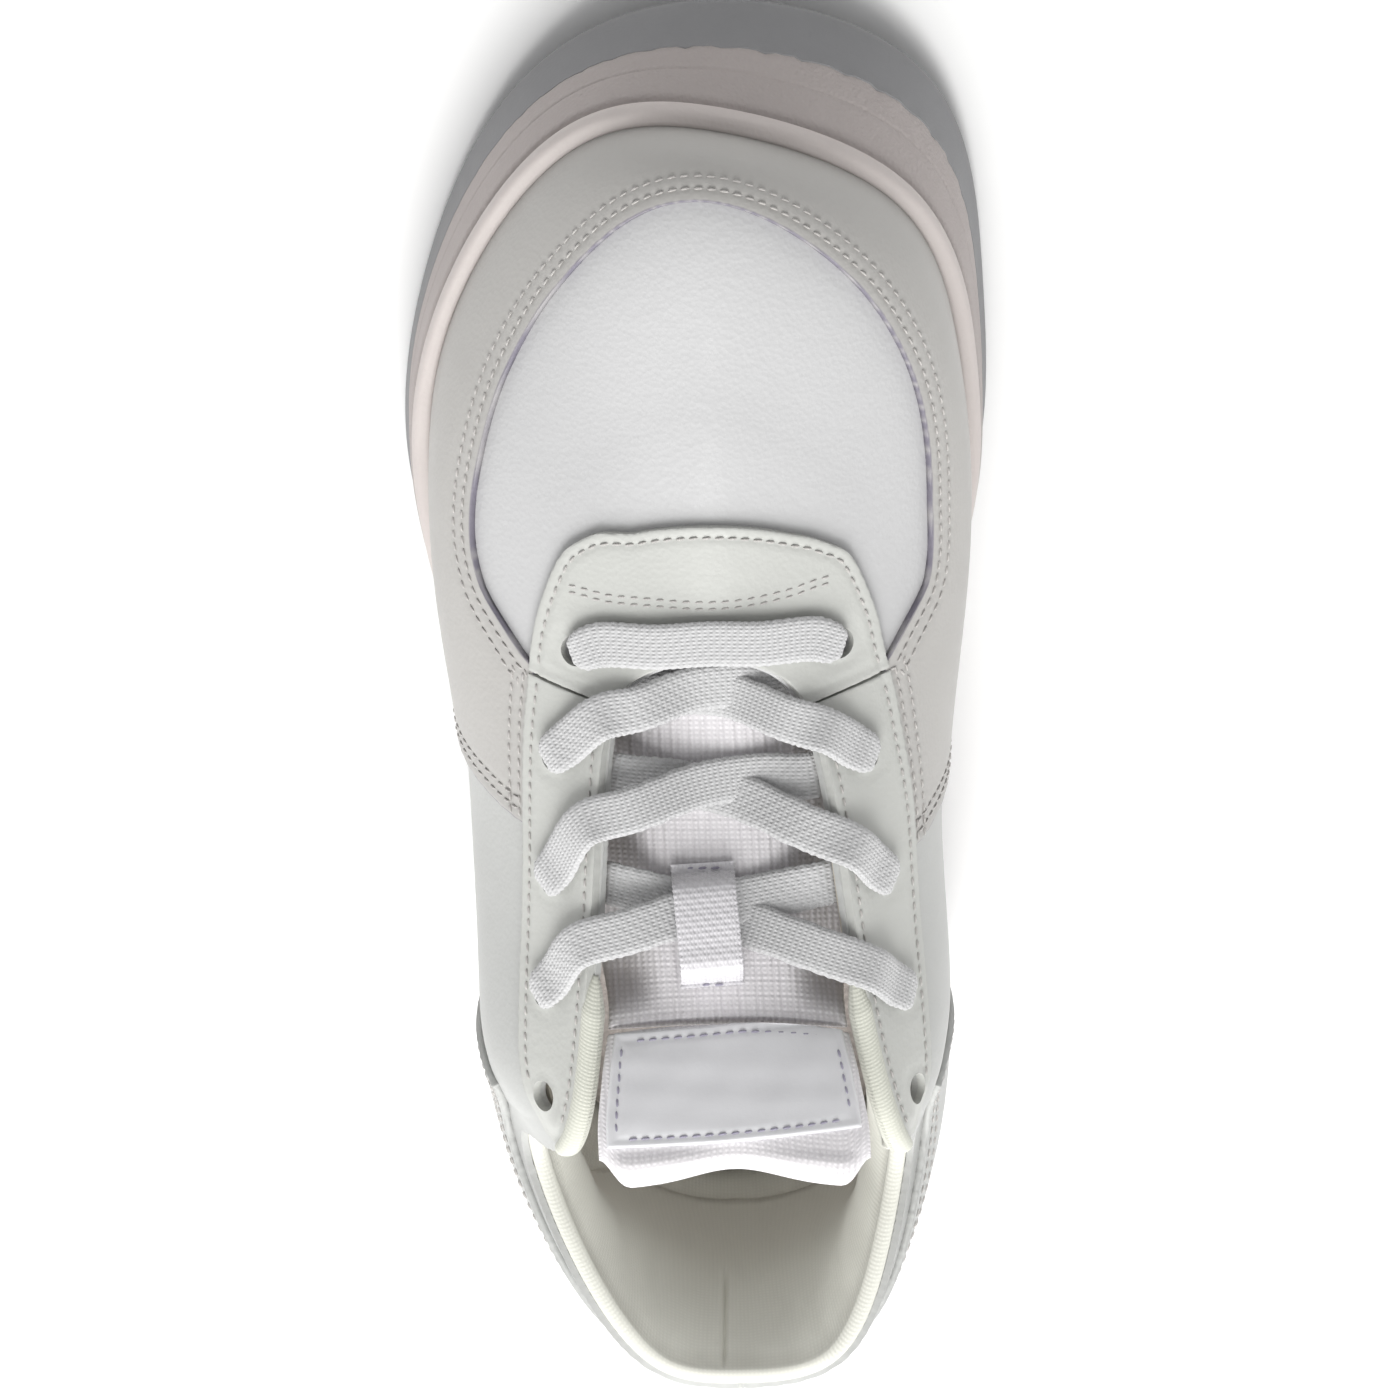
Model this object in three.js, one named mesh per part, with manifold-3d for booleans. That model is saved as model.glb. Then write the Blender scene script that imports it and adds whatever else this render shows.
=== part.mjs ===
// A child's low lace-up court sneaker for the left foot, closed with a flat lace.
// Millimetres, +Z up, toe toward +Y, medial side toward +X, standing on z = 0.
import * as THREE from "three";
import Module from "manifold-3d";

const wasm = await Module();
wasm.setup();

// ---- driving dimensions ---------------------------------------------------

// The shoe's shape, station by station round the foot: from the heel's back forward along
// the medial side to the toe tip, then back along the lateral side. Each row holds the sole's
// outer edge (x, y), then four points up the upper: sole rim, lower side, upper side, top line.
const STATIONS = [
  [[6, -111], [6, -105, 27], [6, -109, 42], [6, -110.5, 60], [6, -109.5, 78]], // heel back
  [[29, -101], [26, -97, 27], [27.5, -100, 42], [27, -102.5, 58], [24, -105.5, 75]],
  [[41, -80], [36, -80, 27], [38, -81, 42], [37, -82, 55], [32.5, -86, 67]],
  [[41, -60], [37, -60, 26], [40, -61, 42], [38.5, -63, 55], [35, -68, 64]], // medial ankle
  [[39.6, -40], [35.5, -40, 25], [40, -43, 44], [39, -49, 67], [31.5, -56, 87]],
  [[39.5, -20], [35, -20, 25], [39, -22, 42], [36, -28, 64], [25, -34, 83.5]],
  [[42, 2], [36, 0, 24], [39.5, -2, 40], [34.5, -5, 58.5], [20.5, -6, 75]],
  [[47, 28], [41, 28, 24], [42, 24, 38], [33, 17, 55], [15.5, 13.5, 67.5]],
  [[46.5, 58], [39.7, 58, 25], [39.5, 53, 39], [26, 41, 54.5], [9, 20, 66.5]], // ball, medial
  [[37, 94], [28.9, 83.5, 29.3], [27.5, 78, 43], [15.5, 54, 55.5], [4.5, 21.3, 66]],
  [[4, 109.5], [1.9, 95.9, 31.5], [2.5, 94.5, 45], [1.5, 61, 57], [1, 21.5, 65.8]], // toe tip
  [[-27, 95], [-21.2, 90.4, 29.3], [-19.5, 83, 43], [-11.5, 56, 55.5], [-2.5, 21.3, 66]],
  [[-43.5, 60], [-38.5, 60, 25], [-36.5, 54, 39], [-24, 42, 54.5], [-7, 20, 66.5]],
  [[-47.5, 28], [-41.5, 28, 24], [-41.5, 24, 38], [-31, 17, 55], [-13.5, 13.5, 67.5]],
  [[-42.5, 2], [-36.5, 0, 24], [-38.5, -2, 40], [-31.5, -5, 58.5], [-16, -6, 75]],
  [[-37.6, -20], [-33.5, -20, 25], [-37, -22, 42], [-32, -28, 64], [-18, -34, 83.5]],
  [[-34.6, -40], [-31.5, -40, 25], [-35.5, -43, 44], [-34.5, -49, 67], [-22.5, -56, 87]],
  [[-32.8, -60], [-29, -60, 26], [-34, -61, 42], [-33.8, -63, 55], [-29.5, -68, 64]],
  [[-30.2, -80], [-26, -80, 27], [-29.5, -81, 42], [-29, -83, 55], [-24.5, -86.5, 67]],
  [[-18, -101], [-14, -97, 27], [-15.5, -100, 42], [-15.5, -102.5, 58], [-11.2, -105.8, 75]],
];
const STATION_COUNT = STATIONS.length;
const RISE = [0, 0.14, 0.34, 0.66, 1]; // where the tucked edge and the four points lie in v

// Sole heights above the sole's lowest face at the same y.
const TOE_SPRING = 8.5; // the sole's lift at y = 110
const TOE_SPRING_START = 60;
const HEEL_BEVEL_START = -95;
const OUTSOLE_THICK = 5;
const CUP_FLOOR_TOP = 8;
const BUMPER_TOE = 11; // how far the outsole climbs the toe
const BUMPER_SIDE = 6.5;
const LIP_WIDTH = 2.2; // width across the rim's rounded lip
const GAP = 0.4; // clearance left between touching pieces
const CUP_GAP = 0.6; // clearance between the upper and the cup

// Layers of the upper, as distances out from the shaping surface.
const BASE = [-1.2, 0];
const OVERLAY = [0.5, 1.7];
const STIFFENER = [-2.5, -1.7];
const LINING = [-3.8, -3];

// Eyelets, row 1 nearest the toe, as [u, v] on each side.
const EYELETS_MEDIAL = [[7.45, 0.85], [6.45, 0.872], [5.62, 0.862], [4.9, 0.85], [4.3, 0.885]];
const EYELETS_LATERAL = [[12.62, 0.85], [13.55, 0.855], [14.38, 0.858], [15.06, 0.86], [15.68, 0.9]];
const EYELET_RADIUS = 2.5;
const COLLAR_PAD = 5.4; // the collar padding's swell
const LACED_ROWS = 4;

const LACE_WIDTH = 7.4;
const LACE_THICK = 1.2;
const AGLET_BORE = 1.7; // the lace's width inside its aglet
const BAR_BOW = 2.5; // the front bar's bow toward the toe
const BAR_SHIFT = 1.4; // the whole bar's shift toward the toe
const BAR_RISE = 14; // how far toeward of the far eyelet the bar's ends aim
const BAR_SHY = 0.9; // how far short of the eyelets' middles the bar goes down
const LOWER_STRAND = 1.3; // heights of crossing strands over the tongue
const UPPER_STRAND = 2.9;
// Shares of the way between rows where strands leave under a flap and arrive over one.
const MEDIAL_SIDE = {
  eyelets: EYELETS_MEDIAL, under: [0.1, 0.05, -0.15], over: [0, 0.3, 0.4, 0.5], lift: UPPER_STRAND,
};
const LATERAL_SIDE = {
  eyelets: EYELETS_LATERAL, under: [0.1, 0.05, -0.15], over: [0, 0.5, 0.6, 0.7], lift: LOWER_STRAND,
};

// The tongue's centre line on its top face: x, y, z, half width, edge drop, thickness.
const TONGUE = [
  [1, 36, 57.4, 16, 5, 2.2],
  [1, 22, 60.4, 19, 6, 2.4],
  [1.2, 12, 63, 21.5, 7.5, 2.6],
  [1.8, -1, 67.4, 22.5, 8.5, 2.6],
  [2.4, -13, 73.4, 22, 8.5, 2.6],
  [3, -22, 78.6, 20, 7.5, 3],
  [3.5, -29.5, 84, 18.8, 5.5, 4],
  [3.9, -36.5, 92, 20.3, 5, 6],
  [4.3, -43.5, 100, 21.5, 5, 8],
  [4.6, -49.5, 106, 21.5, 6, 7],
];
const TONGUE_FOLD = 6.35; // where the padded top starts, counted along the rows above
const FOLD_GAP = 0.06; // half of the gap at the fold, in rows

// ---- materials ------------------------------------------------------------

function look(hex, roughness) {
  return new THREE.MeshStandardMaterial({ color: hex, roughness, metalness: 0 });
}

const WHITE_LEATHER = look(0xdad9d6, 0.45);
const SIDE_LEATHER = look(0xcbcdc9, 0.5);
const SOLE_RUBBER = look(0xc6c0bd, 0.6);
const GREY_RUBBER = look(0x7f8081, 0.7);
const FOAM = look(0xd8d4c8, 0.9);
const BOARD = look(0xb59f7c, 0.9);
const SOCK_FABRIC = look(0x8c8280, 0.95);
const MESH_FABRIC = look(0xd3cfd3, 0.9);
const LINING_FABRIC = look(0xc2c2b5, 0.95);
const STIFF_PLASTIC = look(0xb8b4a8, 0.6);
const LABEL_FILM = look(0xd5d3dc, 0.35);
const LACE_COTTON = look(0xdadade, 0.85);
const CLEAR_PLASTIC = look(0xe6e6ea, 0.25);

// ---- small helpers --------------------------------------------------------

const mix = THREE.MathUtils.lerp;
const smooth = THREE.MathUtils.smoothstep;

// Value of a table of [position, value] pairs at a position, joined by straight lines.
function table(pairs, at) {
  if (at <= pairs[0][0]) {
    return pairs[0][1];
  }
  for (let i = 1; i < pairs.length; i += 1) {
    if (at <= pairs[i][0]) {
      const t = (at - pairs[i - 1][0]) / (pairs[i][0] - pairs[i - 1][0]);
      return mix(pairs[i - 1][1], pairs[i][1], t);
    }
  }
  return pairs[pairs.length - 1][1];
}

function asFunction(value) {
  return typeof value === "function" ? value : () => value;
}

// A smooth closed curve through the points, read at u counted in points.
function closedTrack(points) {
  const n = points.length;
  const slopes = points.map(() => new THREE.Vector3());
  for (let pass = 0; pass < 40; pass += 1) {
    const last = slopes.map((slope) => slope.clone());
    for (let i = 0; i < n; i += 1) {
      const before = (i + n - 1) % n;
      const after = (i + 1) % n;
      slopes[i].subVectors(points[after], points[before]).multiplyScalar(3);
      slopes[i].sub(last[before]).sub(last[after]).divideScalar(4);
    }
  }
  return (u) => {
    const whole = Math.floor(u);
    const a = ((whole % n) + n) % n;
    return hermite(points[a], slopes[a], points[(a + 1) % n], slopes[(a + 1) % n], u - whole);
  };
}

function hermite(p0, m0, p1, m1, t) {
  const t2 = t * t;
  const t3 = t2 * t;
  return new THREE.Vector3()
    .addScaledVector(p0, 2 * t3 - 3 * t2 + 1)
    .addScaledVector(m0, t3 - 2 * t2 + t)
    .addScaledVector(p1, 3 * t2 - 2 * t3)
    .addScaledVector(m1, t3 - t2);
}

function body(name, material, points, triangles) {
  const geometry = new THREE.BufferGeometry();
  const numbers = points.flatMap((p) => [p.x, p.y, p.z]);
  geometry.setAttribute("position", new THREE.Float32BufferAttribute(numbers, 3));
  geometry.setIndex(triangles.flat());
  const mesh = new THREE.Mesh(geometry, material);
  mesh.name = name;
  return mesh;
}

// ---- the shaping surface --------------------------------------------------

function soleBase(y) {
  const toe = Math.max(0, (y - TOE_SPRING_START) / 50);
  const heel = Math.max(0, (HEEL_BEVEL_START - y) / 16);
  return TOE_SPRING * toe * toe + 2.5 * heel * heel;
}

// Height of the upper's tucked-in lower edge, higher under the heel.
function floorHeight(y) {
  const lift = 7 * (1 - smooth(y, -60, 40));
  const toe = Math.max(0, (y - TOE_SPRING_START) / 50);
  return 12 + lift + TOE_SPRING * toe * toe;
}

const outline = closedTrack(STATIONS.map(([edge]) => new THREE.Vector3(edge[0], edge[1], 0)));

function tuckedEdge() {
  return STATIONS.map((row, i) => {
    const before = STATIONS[(i + STATION_COUNT - 1) % STATION_COUNT][1];
    const after = STATIONS[(i + 1) % STATION_COUNT][1];
    const out = new THREE.Vector3(after[1] - before[1], before[0] - after[0], 0).normalize();
    const point = new THREE.Vector3(...row[1]).addScaledVector(out, -1.5);
    point.z = floorHeight(point.y);
    return point;
  });
}

const tracks = [
  closedTrack(tuckedEdge()),
  ...[1, 2, 3, 4].map((k) => closedTrack(STATIONS.map((row) => new THREE.Vector3(...row[k])))),
];

// Point of the shaping surface: u counts stations round the shoe, v runs from the tucked
// edge (0) to the top line (1).
function surface(u, v) {
  const q = tracks.map((track) => track(u));
  const rates = [0, 1, 2, 3].map((k) =>
    new THREE.Vector3().subVectors(q[k + 1], q[k]).divideScalar(RISE[k + 1] - RISE[k]));
  const slopes = RISE.map((at, k) => {
    if (k === 0 || k === 4) {
      return rates[Math.min(k, 3)];
    }
    const w = (at - RISE[k - 1]) / (RISE[k + 1] - RISE[k - 1]);
    return new THREE.Vector3().lerpVectors(rates[k - 1], rates[k], w);
  });
  const k = v < RISE[1] ? 0 : v < RISE[2] ? 1 : v < RISE[3] ? 2 : 3;
  const span = RISE[k + 1] - RISE[k];
  const m0 = slopes[k].clone().multiplyScalar(span);
  const m1 = slopes[k + 1].clone().multiplyScalar(span);
  return hermite(q[k], m0, q[k + 1], m1, (v - RISE[k]) / span);
}

function normalAt(u, v) {
  const step = 1e-3;
  const along = surface(u + step, v).sub(surface(u - step, v));
  const up = surface(u, Math.min(v + step, 1)).sub(surface(u, Math.max(v - step, 0)));
  return along.cross(up).normalize();
}

function offset(u, v, distance) {
  return surface(u, v).addScaledVector(normalAt(u, v), distance);
}

// ---- shells cut from the shaping surface ----------------------------------

const COLUMN_STEP = 1 / 3; // in stations

// Every shell shares these column lines, so the layers stay parallel between them.
function columnsBetween(from, to) {
  const lines = [from];
  for (let k = Math.ceil((from + 0.06) / COLUMN_STEP); k * COLUMN_STEP < to - 0.06; k += 1) {
    lines.push(k * COLUMN_STEP);
  }
  lines.push(to);
  return lines;
}

// A closed shell over a patch of the surface. low and high bound the patch in v; inner and
// outer are its two faces' distances from the surface, which may vary with u and with the
// share w of the way from low to high.
function shell(name, material, { from, to, rows, low, high, layer }) {
  const lines = columnsBetween(from, to);
  const columns = lines.length - 1;
  const bottom = asFunction(low);
  const top = asFunction(high);
  const inner = asFunction(layer[0]);
  const outer = asFunction(layer[1]);
  const points = [];
  const at = (i, j, side) => (i * (rows + 1) + j) * 2 + side;
  for (let i = 0; i <= columns; i += 1) {
    const u = lines[i];
    for (let j = 0; j <= rows; j += 1) {
      const w = j / rows;
      const v = mix(bottom(u), top(u), w);
      points.push(offset(u, v, outer(u, w)), offset(u, v, inner(u, w)));
    }
  }
  const triangles = [];
  const quad = (a, b, c, d) => triangles.push([a, b, c], [a, c, d]);
  for (let i = 0; i < columns; i += 1) {
    for (let j = 0; j < rows; j += 1) {
      quad(at(i, j, 0), at(i + 1, j, 0), at(i + 1, j + 1, 0), at(i, j + 1, 0));
      quad(at(i, j, 1), at(i, j + 1, 1), at(i + 1, j + 1, 1), at(i + 1, j, 1));
    }
    quad(at(i, 0, 0), at(i, 0, 1), at(i + 1, 0, 1), at(i + 1, 0, 0));
    quad(at(i, rows, 0), at(i + 1, rows, 0), at(i + 1, rows, 1), at(i, rows, 1));
  }
  for (let j = 0; j < rows; j += 1) {
    quad(at(0, j, 0), at(0, j + 1, 0), at(0, j + 1, 1), at(0, j, 1));
    quad(at(columns, j, 0), at(columns, j, 1), at(columns, j + 1, 1), at(columns, j + 1, 0));
  }
  return body(name, material, points, triangles);
}

// ---- stacked rings for the sole's pieces ----------------------------------

const RING_POINTS = 60;

function ringOf(pointAt) {
  return Array.from({ length: RING_POINTS }, (_, i) =>
    pointAt((i * STATION_COUNT) / RING_POINTS));
}

// A solid whose skin runs up a stack of rings, closed at both ends by strips that join
// each medial point to the lateral point opposite.
function ringStack(name, material, rings) {
  const n = RING_POINTS;
  const points = rings.flat();
  const triangles = [];
  for (let k = 0; k + 1 < rings.length; k += 1) {
    for (let i = 0; i < n; i += 1) {
      const a = k * n + i;
      const b = k * n + ((i + 1) % n);
      triangles.push([a, b, b + n], [a, b + n, a + n]);
    }
  }
  const last = (rings.length - 1) * n;
  for (let i = 0; i < n / 2; i += 1) {
    const across = (n - i) % n;
    const next = n - i - 1;
    const strip = [[across, next, i + 1], [across, i + 1, i]];
    for (const [a, b, c] of strip) {
      if (a !== b && b !== c && a !== c) {
        triangles.push([a, b, c], [last + a, last + c, last + b]);
      }
    }
  }
  return body(name, material, points, triangles);
}

// A point of the sole's wall: share runs from 0 at the sole's outer edge to 1 at the lip's
// outer face, and extra is a further distance in toward the foot.
function wallPoint(u, share, extra, height) {
  const point = outline(u);
  const edgeY = point.y;
  const across = offset(u, RISE[1], OVERLAY[1] + CUP_GAP).sub(point).setZ(0);
  const leaning = across.length() - LIP_WIDTH;
  point.addScaledVector(across.normalize(), share * leaning + extra);
  point.z = height(u, edgeY);
  return point;
}

function wallRing(share, extra, height) {
  return ringOf((u) => wallPoint(u, share, extra, height));
}

function aboveBase(lift) {
  return (u, y) => soleBase(y) + lift;
}

// Top edge of the outsole's rim, which climbs round the toe.
function bumperTop(u, y) {
  const climb = smooth(y, 30, 100);
  return soleBase(y) + mix(BUMPER_SIDE, BUMPER_TOE, climb);
}

function rimTop(u) {
  return surface(u, RISE[1]).z + 0.4;
}

const belowRim = (drop) => (u) => rimTop(u) - drop;

const outsole = ringStack("outsole", GREY_RUBBER, [
  wallRing(0, 2, aboveBase(0)),
  wallRing(0, 0.45, aboveBase(1)),
  wallRing(0, 0, aboveBase(3.2)),
  wallRing(0.4, 0.2, bumperTop),
  wallRing(0.4, 2.4, bumperTop),
  wallRing(0.4, 2.6, aboveBase(OUTSOLE_THICK)),
]);

function skirt(distance, height) {
  return ringOf((u) => {
    const point = offset(u, 0, distance);
    point.z = height(point.y);
    return point;
  });
}

const cupsole = ringStack("cupsole", SOLE_RUBBER, [
  wallRing(0.4, 3.1, aboveBase(OUTSOLE_THICK + GAP)),
  wallRing(0.4, 2.9, (u, y) => bumperTop(u, y) + GAP),
  wallRing(0.4, 0.2, (u, y) => bumperTop(u, y) + GAP),
  wallRing(0.95, 0, belowRim(4.2)),
  wallRing(1, 0.8, belowRim(3.5)),
  wallRing(1, 0, belowRim(2.6)),
  wallRing(1, 0.2, belowRim(0.6)),
  wallRing(1, 1, belowRim(0)),
  wallRing(1, LIP_WIDTH, belowRim(0.2)),
  ringOf((u) => offset(u, RISE[1] / 2, OVERLAY[1] + CUP_GAP)),
  skirt(OVERLAY[1] + CUP_GAP, (y) => floorHeight(y) - 0.3),
  skirt(OVERLAY[1] + CUP_GAP - 0.6, (y) => soleBase(y) + CUP_FLOOR_TOP),
]);

function slab(name, material, distance, low, high) {
  return ringStack(name, material, [
    skirt(distance - 0.5, low),
    skirt(distance, (y) => low(y) + 0.6),
    skirt(distance, (y) => high(y) - 0.6),
    skirt(distance - 0.5, high),
  ]);
}

const midsoleFoam = slab("midsole_foam", FOAM, 0.7,
  (y) => soleBase(y) + CUP_FLOOR_TOP + GAP, (y) => floorHeight(y) - GAP);
const insoleBoard = slab("insole_board", BOARD, -4.1,
  (y) => floorHeight(y), (y) => floorHeight(y) + 1.6);
const sockliner = slab("sockliner", SOCK_FABRIC, -4.3,
  (y) => floorHeight(y) + 2, (y) => floorHeight(y) + 7.4);

// ---- the upper ------------------------------------------------------------

// Front edge of the throat tab and outer edges of both eyestays, as [u, v].
const EYESTAY_EDGE = [
  [3.95, 0.93], [4.1, 0.86], [4.4, 0.79], [5, 0.74], [5.8, 0.725], [6.65, 0.75], [7.12, 0.752],
  [7.5, 0.74], [7.9, 0.738], [8.3, 0.764], [8.85, 0.79], [10.1, 0.815], [11.25, 0.793],
  [11.8, 0.75], [12.15, 0.73], [12.6, 0.735], [13.2, 0.757], [14, 0.758], [14.9, 0.765],
  [15.5, 0.795], [15.85, 0.86], [16.02, 0.93],
];
// Upper edge of the mudguard, round the plain vamp and back under the eyestays.
const VAMP_LINE = [
  [7.08, 0.75], [7.18, 0.69], [7.32, 0.57], [7.7, 0.51], [8.12, 0.462], [8.6, 0.425],
  [9.2, 0.395], [9.9, 0.385], [10.65, 0.375], [11.2, 0.382], [11.65, 0.407], [12.08, 0.45],
  [12.5, 0.495], [12.72, 0.56], [12.86, 0.69], [12.94, 0.75],
];
const MUDGUARD_REAR = [5.62, 14.14]; // u of its rear ends
const FOXING_FRONT = [3.42, 16.52]; // u of the heel foxing's front ends
const TAB_SPLIT = [7.02, 12.98]; // u of the seams between the tab and the eyestays
const VAMP_SPLIT = [6.9, 13.1];
const SEAM = 0.012; // half of a butt seam, in stations or in v

const eyestayEdge = (u) => table(EYESTAY_EDGE, u);

function mudguardTop(u) {
  const free = u > 7.08 && u < 12.94 ? table(VAMP_LINE, u) : 1;
  return Math.min(free, eyestayEdge(u) - 0.014);
}

function foxingTop(u) {
  const fromBack = Math.abs(u - STATION_COUNT);
  const front = table([[2.2, 0.9], [2.9, 0.86], [3.3, 0.8], [3.5, 0.74]], fromBack);
  return table([[0.34, 0.6], [0.66, 0.88], [1.4, 0.9]], fromBack) * (front / 0.9);
}

// Lower edge of the collar padding: down to the sockliner at the heel's back, higher at
// the ankles.
function paddingLow(u) {
  return table([[0, 0.21], [1, 0.24], [1.8, 0.45], [2.6, 0.62], [4, 0.68]], Math.abs(u - STATION_COUNT));
}

const UPPER = [
  shell("vamp", WHITE_LEATHER, {
    from: VAMP_SPLIT[0] + SEAM, to: VAMP_SPLIT[1] - SEAM, rows: 8,
    low: 0, high: 1, layer: BASE,
  }),
  shell("quarter_medial", SIDE_LEATHER, {
    from: SEAM, to: VAMP_SPLIT[0] - SEAM, rows: 8, low: 0, high: 1, layer: BASE,
  }),
  shell("quarter_lateral", SIDE_LEATHER, {
    from: VAMP_SPLIT[1] + SEAM, to: STATION_COUNT - SEAM, rows: 8,
    low: 0, high: 1, layer: BASE,
  }),
  shell("mudguard", SIDE_LEATHER, {
    from: MUDGUARD_REAR[0], to: MUDGUARD_REAR[1], rows: 6,
    low: 0, high: mudguardTop, layer: [OVERLAY[0] + 0.3, OVERLAY[1]],
  }),
  shell("throat_tab", WHITE_LEATHER, {
    from: TAB_SPLIT[0] + SEAM, to: TAB_SPLIT[1] - SEAM, rows: 3,
    low: eyestayEdge, high: 0.995, layer: OVERLAY,
  }),
  shell("eyestay_medial", WHITE_LEATHER, {
    from: 3.95, to: TAB_SPLIT[0] - SEAM, rows: 3,
    low: eyestayEdge, high: 0.995, layer: OVERLAY,
  }),
  shell("eyestay_lateral", WHITE_LEATHER, {
    from: TAB_SPLIT[1] + SEAM, to: 16.02, rows: 3,
    low: eyestayEdge, high: 0.995, layer: OVERLAY,
  }),
  shell("eyelet_stay_medial", STIFF_PLASTIC, {
    from: 4.05, to: 7.75, rows: 2, low: 0.79, high: 0.98, layer: STIFFENER,
  }),
  shell("eyelet_stay_lateral", STIFF_PLASTIC, {
    from: 12.3, to: 15.95, rows: 2, low: 0.79, high: 0.98, layer: STIFFENER,
  }),
  shell("heel_foxing", SIDE_LEATHER, {
    from: FOXING_FRONT[1], to: FOXING_FRONT[0] + STATION_COUNT, rows: 5,
    low: 0, high: foxingTop, layer: OVERLAY,
  }),
  shell("heel_tab", WHITE_LEATHER, {
    from: 19.7, to: 20.3, rows: 4, low: 0.62, high: 0.99, layer: OVERLAY,
  }),
  shell("toe_puff", STIFF_PLASTIC, {
    from: 8.2, to: 11.8, rows: 6, low: 0.15, high: 0.42, layer: [STIFFENER[0], STIFFENER[1] - 0.5],
  }),
  shell("heel_counter", STIFF_PLASTIC, {
    from: 17.2, to: 22.8, rows: 4, low: 0.02, high: 0.62, layer: STIFFENER,
  }),
  shell("vamp_lining", LINING_FABRIC, {
    from: VAMP_SPLIT[0] + SEAM, to: VAMP_SPLIT[1] - SEAM, rows: 6,
    low: 0, high: 0.74, layer: LINING,
  }),
  shell("quarter_lining", LINING_FABRIC, {
    from: VAMP_SPLIT[1] + SEAM, to: VAMP_SPLIT[0] - SEAM + STATION_COUNT, rows: 5,
    low: 0, high: (u) => paddingLow(u) - 0.02, layer: LINING,
  }),
  shell("collar_padding", LINING_FABRIC, {
    from: 16.1, to: 23.9, rows: 9, low: paddingLow, high: 0.995,
    layer: [(u, w) => -3.4 - COLLAR_PAD * Math.sin(Math.PI * mix(0.06, 0.94, w)) ** 0.35, STIFFENER[0] - 0.4],
  }),
];

// ---- eyelet holes ---------------------------------------------------------

function solidOf(mesh) {
  mesh.updateMatrixWorld(true);
  const source = mesh.geometry;
  const place = source.attributes.position;
  const vertProperties = new Float32Array(place.count * 3);
  const point = new THREE.Vector3();
  for (let i = 0; i < place.count; i += 1) {
    point.fromBufferAttribute(place, i).applyMatrix4(mesh.matrixWorld).toArray(vertProperties, i * 3);
  }
  const triVerts = new Uint32Array(source.index.array);
  return new wasm.Manifold(new wasm.Mesh({ numProp: 3, vertProperties, triVerts }));
}

function geometryOf(solid) {
  const { vertProperties, triVerts } = solid.getMesh();
  const geometry = new THREE.BufferGeometry();
  geometry.setAttribute("position", new THREE.BufferAttribute(vertProperties, 3));
  geometry.setIndex(new THREE.BufferAttribute(triVerts, 1));
  return geometry;
}

// A closed round punch standing on the surface at u, v.
function punch(u, v, radius) {
  const sides = 10;
  const normal = normalAt(u, v);
  const side = new THREE.Vector3(0, 0, 1).cross(normal).normalize();
  const up = normal.clone().cross(side);
  const points = [];
  for (const reach of [-5, 5]) {
    const centre = surface(u, v).addScaledVector(normal, reach);
    for (let i = 0; i < sides; i += 1) {
      const angle = (i * 2 * Math.PI) / sides;
      points.push(centre.clone()
        .addScaledVector(side, radius * Math.cos(angle))
        .addScaledVector(up, radius * Math.sin(angle)));
    }
  }
  const triangles = [];
  for (let i = 0; i < sides; i += 1) {
    const j = (i + 1) % sides;
    triangles.push([i, j, j + sides], [i, j + sides, i + sides]);
    if (i > 0 && i < sides - 1) {
      triangles.push([0, j, i], [sides, sides + i, sides + j]);
    }
  }
  return body("punch", WHITE_LEATHER, points, triangles);
}

const PUNCHED = ["vamp", "quarter_medial", "quarter_lateral", "throat_tab", "eyestay_medial",
  "eyestay_lateral", "eyelet_stay_medial", "eyelet_stay_lateral"];
for (const [u, v] of [...EYELETS_MEDIAL, ...EYELETS_LATERAL]) {
  const tool = solidOf(punch(u, v, EYELET_RADIUS));
  for (const piece of UPPER.filter((mesh) => PUNCHED.includes(mesh.name))) {
    piece.geometry = geometryOf(solidOf(piece).subtract(tool));
  }
}

// ---- tongue ---------------------------------------------------------------

const tongueCurve = new THREE.CatmullRomCurve3(
  TONGUE.map(([x, y, z]) => new THREE.Vector3(x, y, z)), false, "centripetal");

function tongueRow(s) {
  const rows = TONGUE.length - 1;
  const centre = tongueCurve.getPoint(s / rows);
  const ahead = tongueCurve.getPoint(Math.min((s + 0.01) / rows, 1));
  const behind = tongueCurve.getPoint(Math.max((s - 0.01) / rows, 0));
  const run = ahead.sub(behind).normalize();
  const side = new THREE.Vector3(1, 0, 0);
  const column = (k) => table(TONGUE.map((row, i) => [i, row[k]]), s);
  return {
    centre, side, up: run.clone().cross(side).normalize(),
    half: column(3), drop: column(4), thick: column(5),
  };
}

// A point of the tongue: s counts rows, t runs -1 (lateral) to 1 (medial), lift is the
// distance above its top face.
function tonguePoint(s, t, lift = 0) {
  const { centre, side, up, half, drop } = tongueRow(s);
  return centre.clone()
    .addScaledVector(side, half * t)
    .addScaledVector(up, lift - drop * Math.abs(t) ** 2.2);
}

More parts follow.
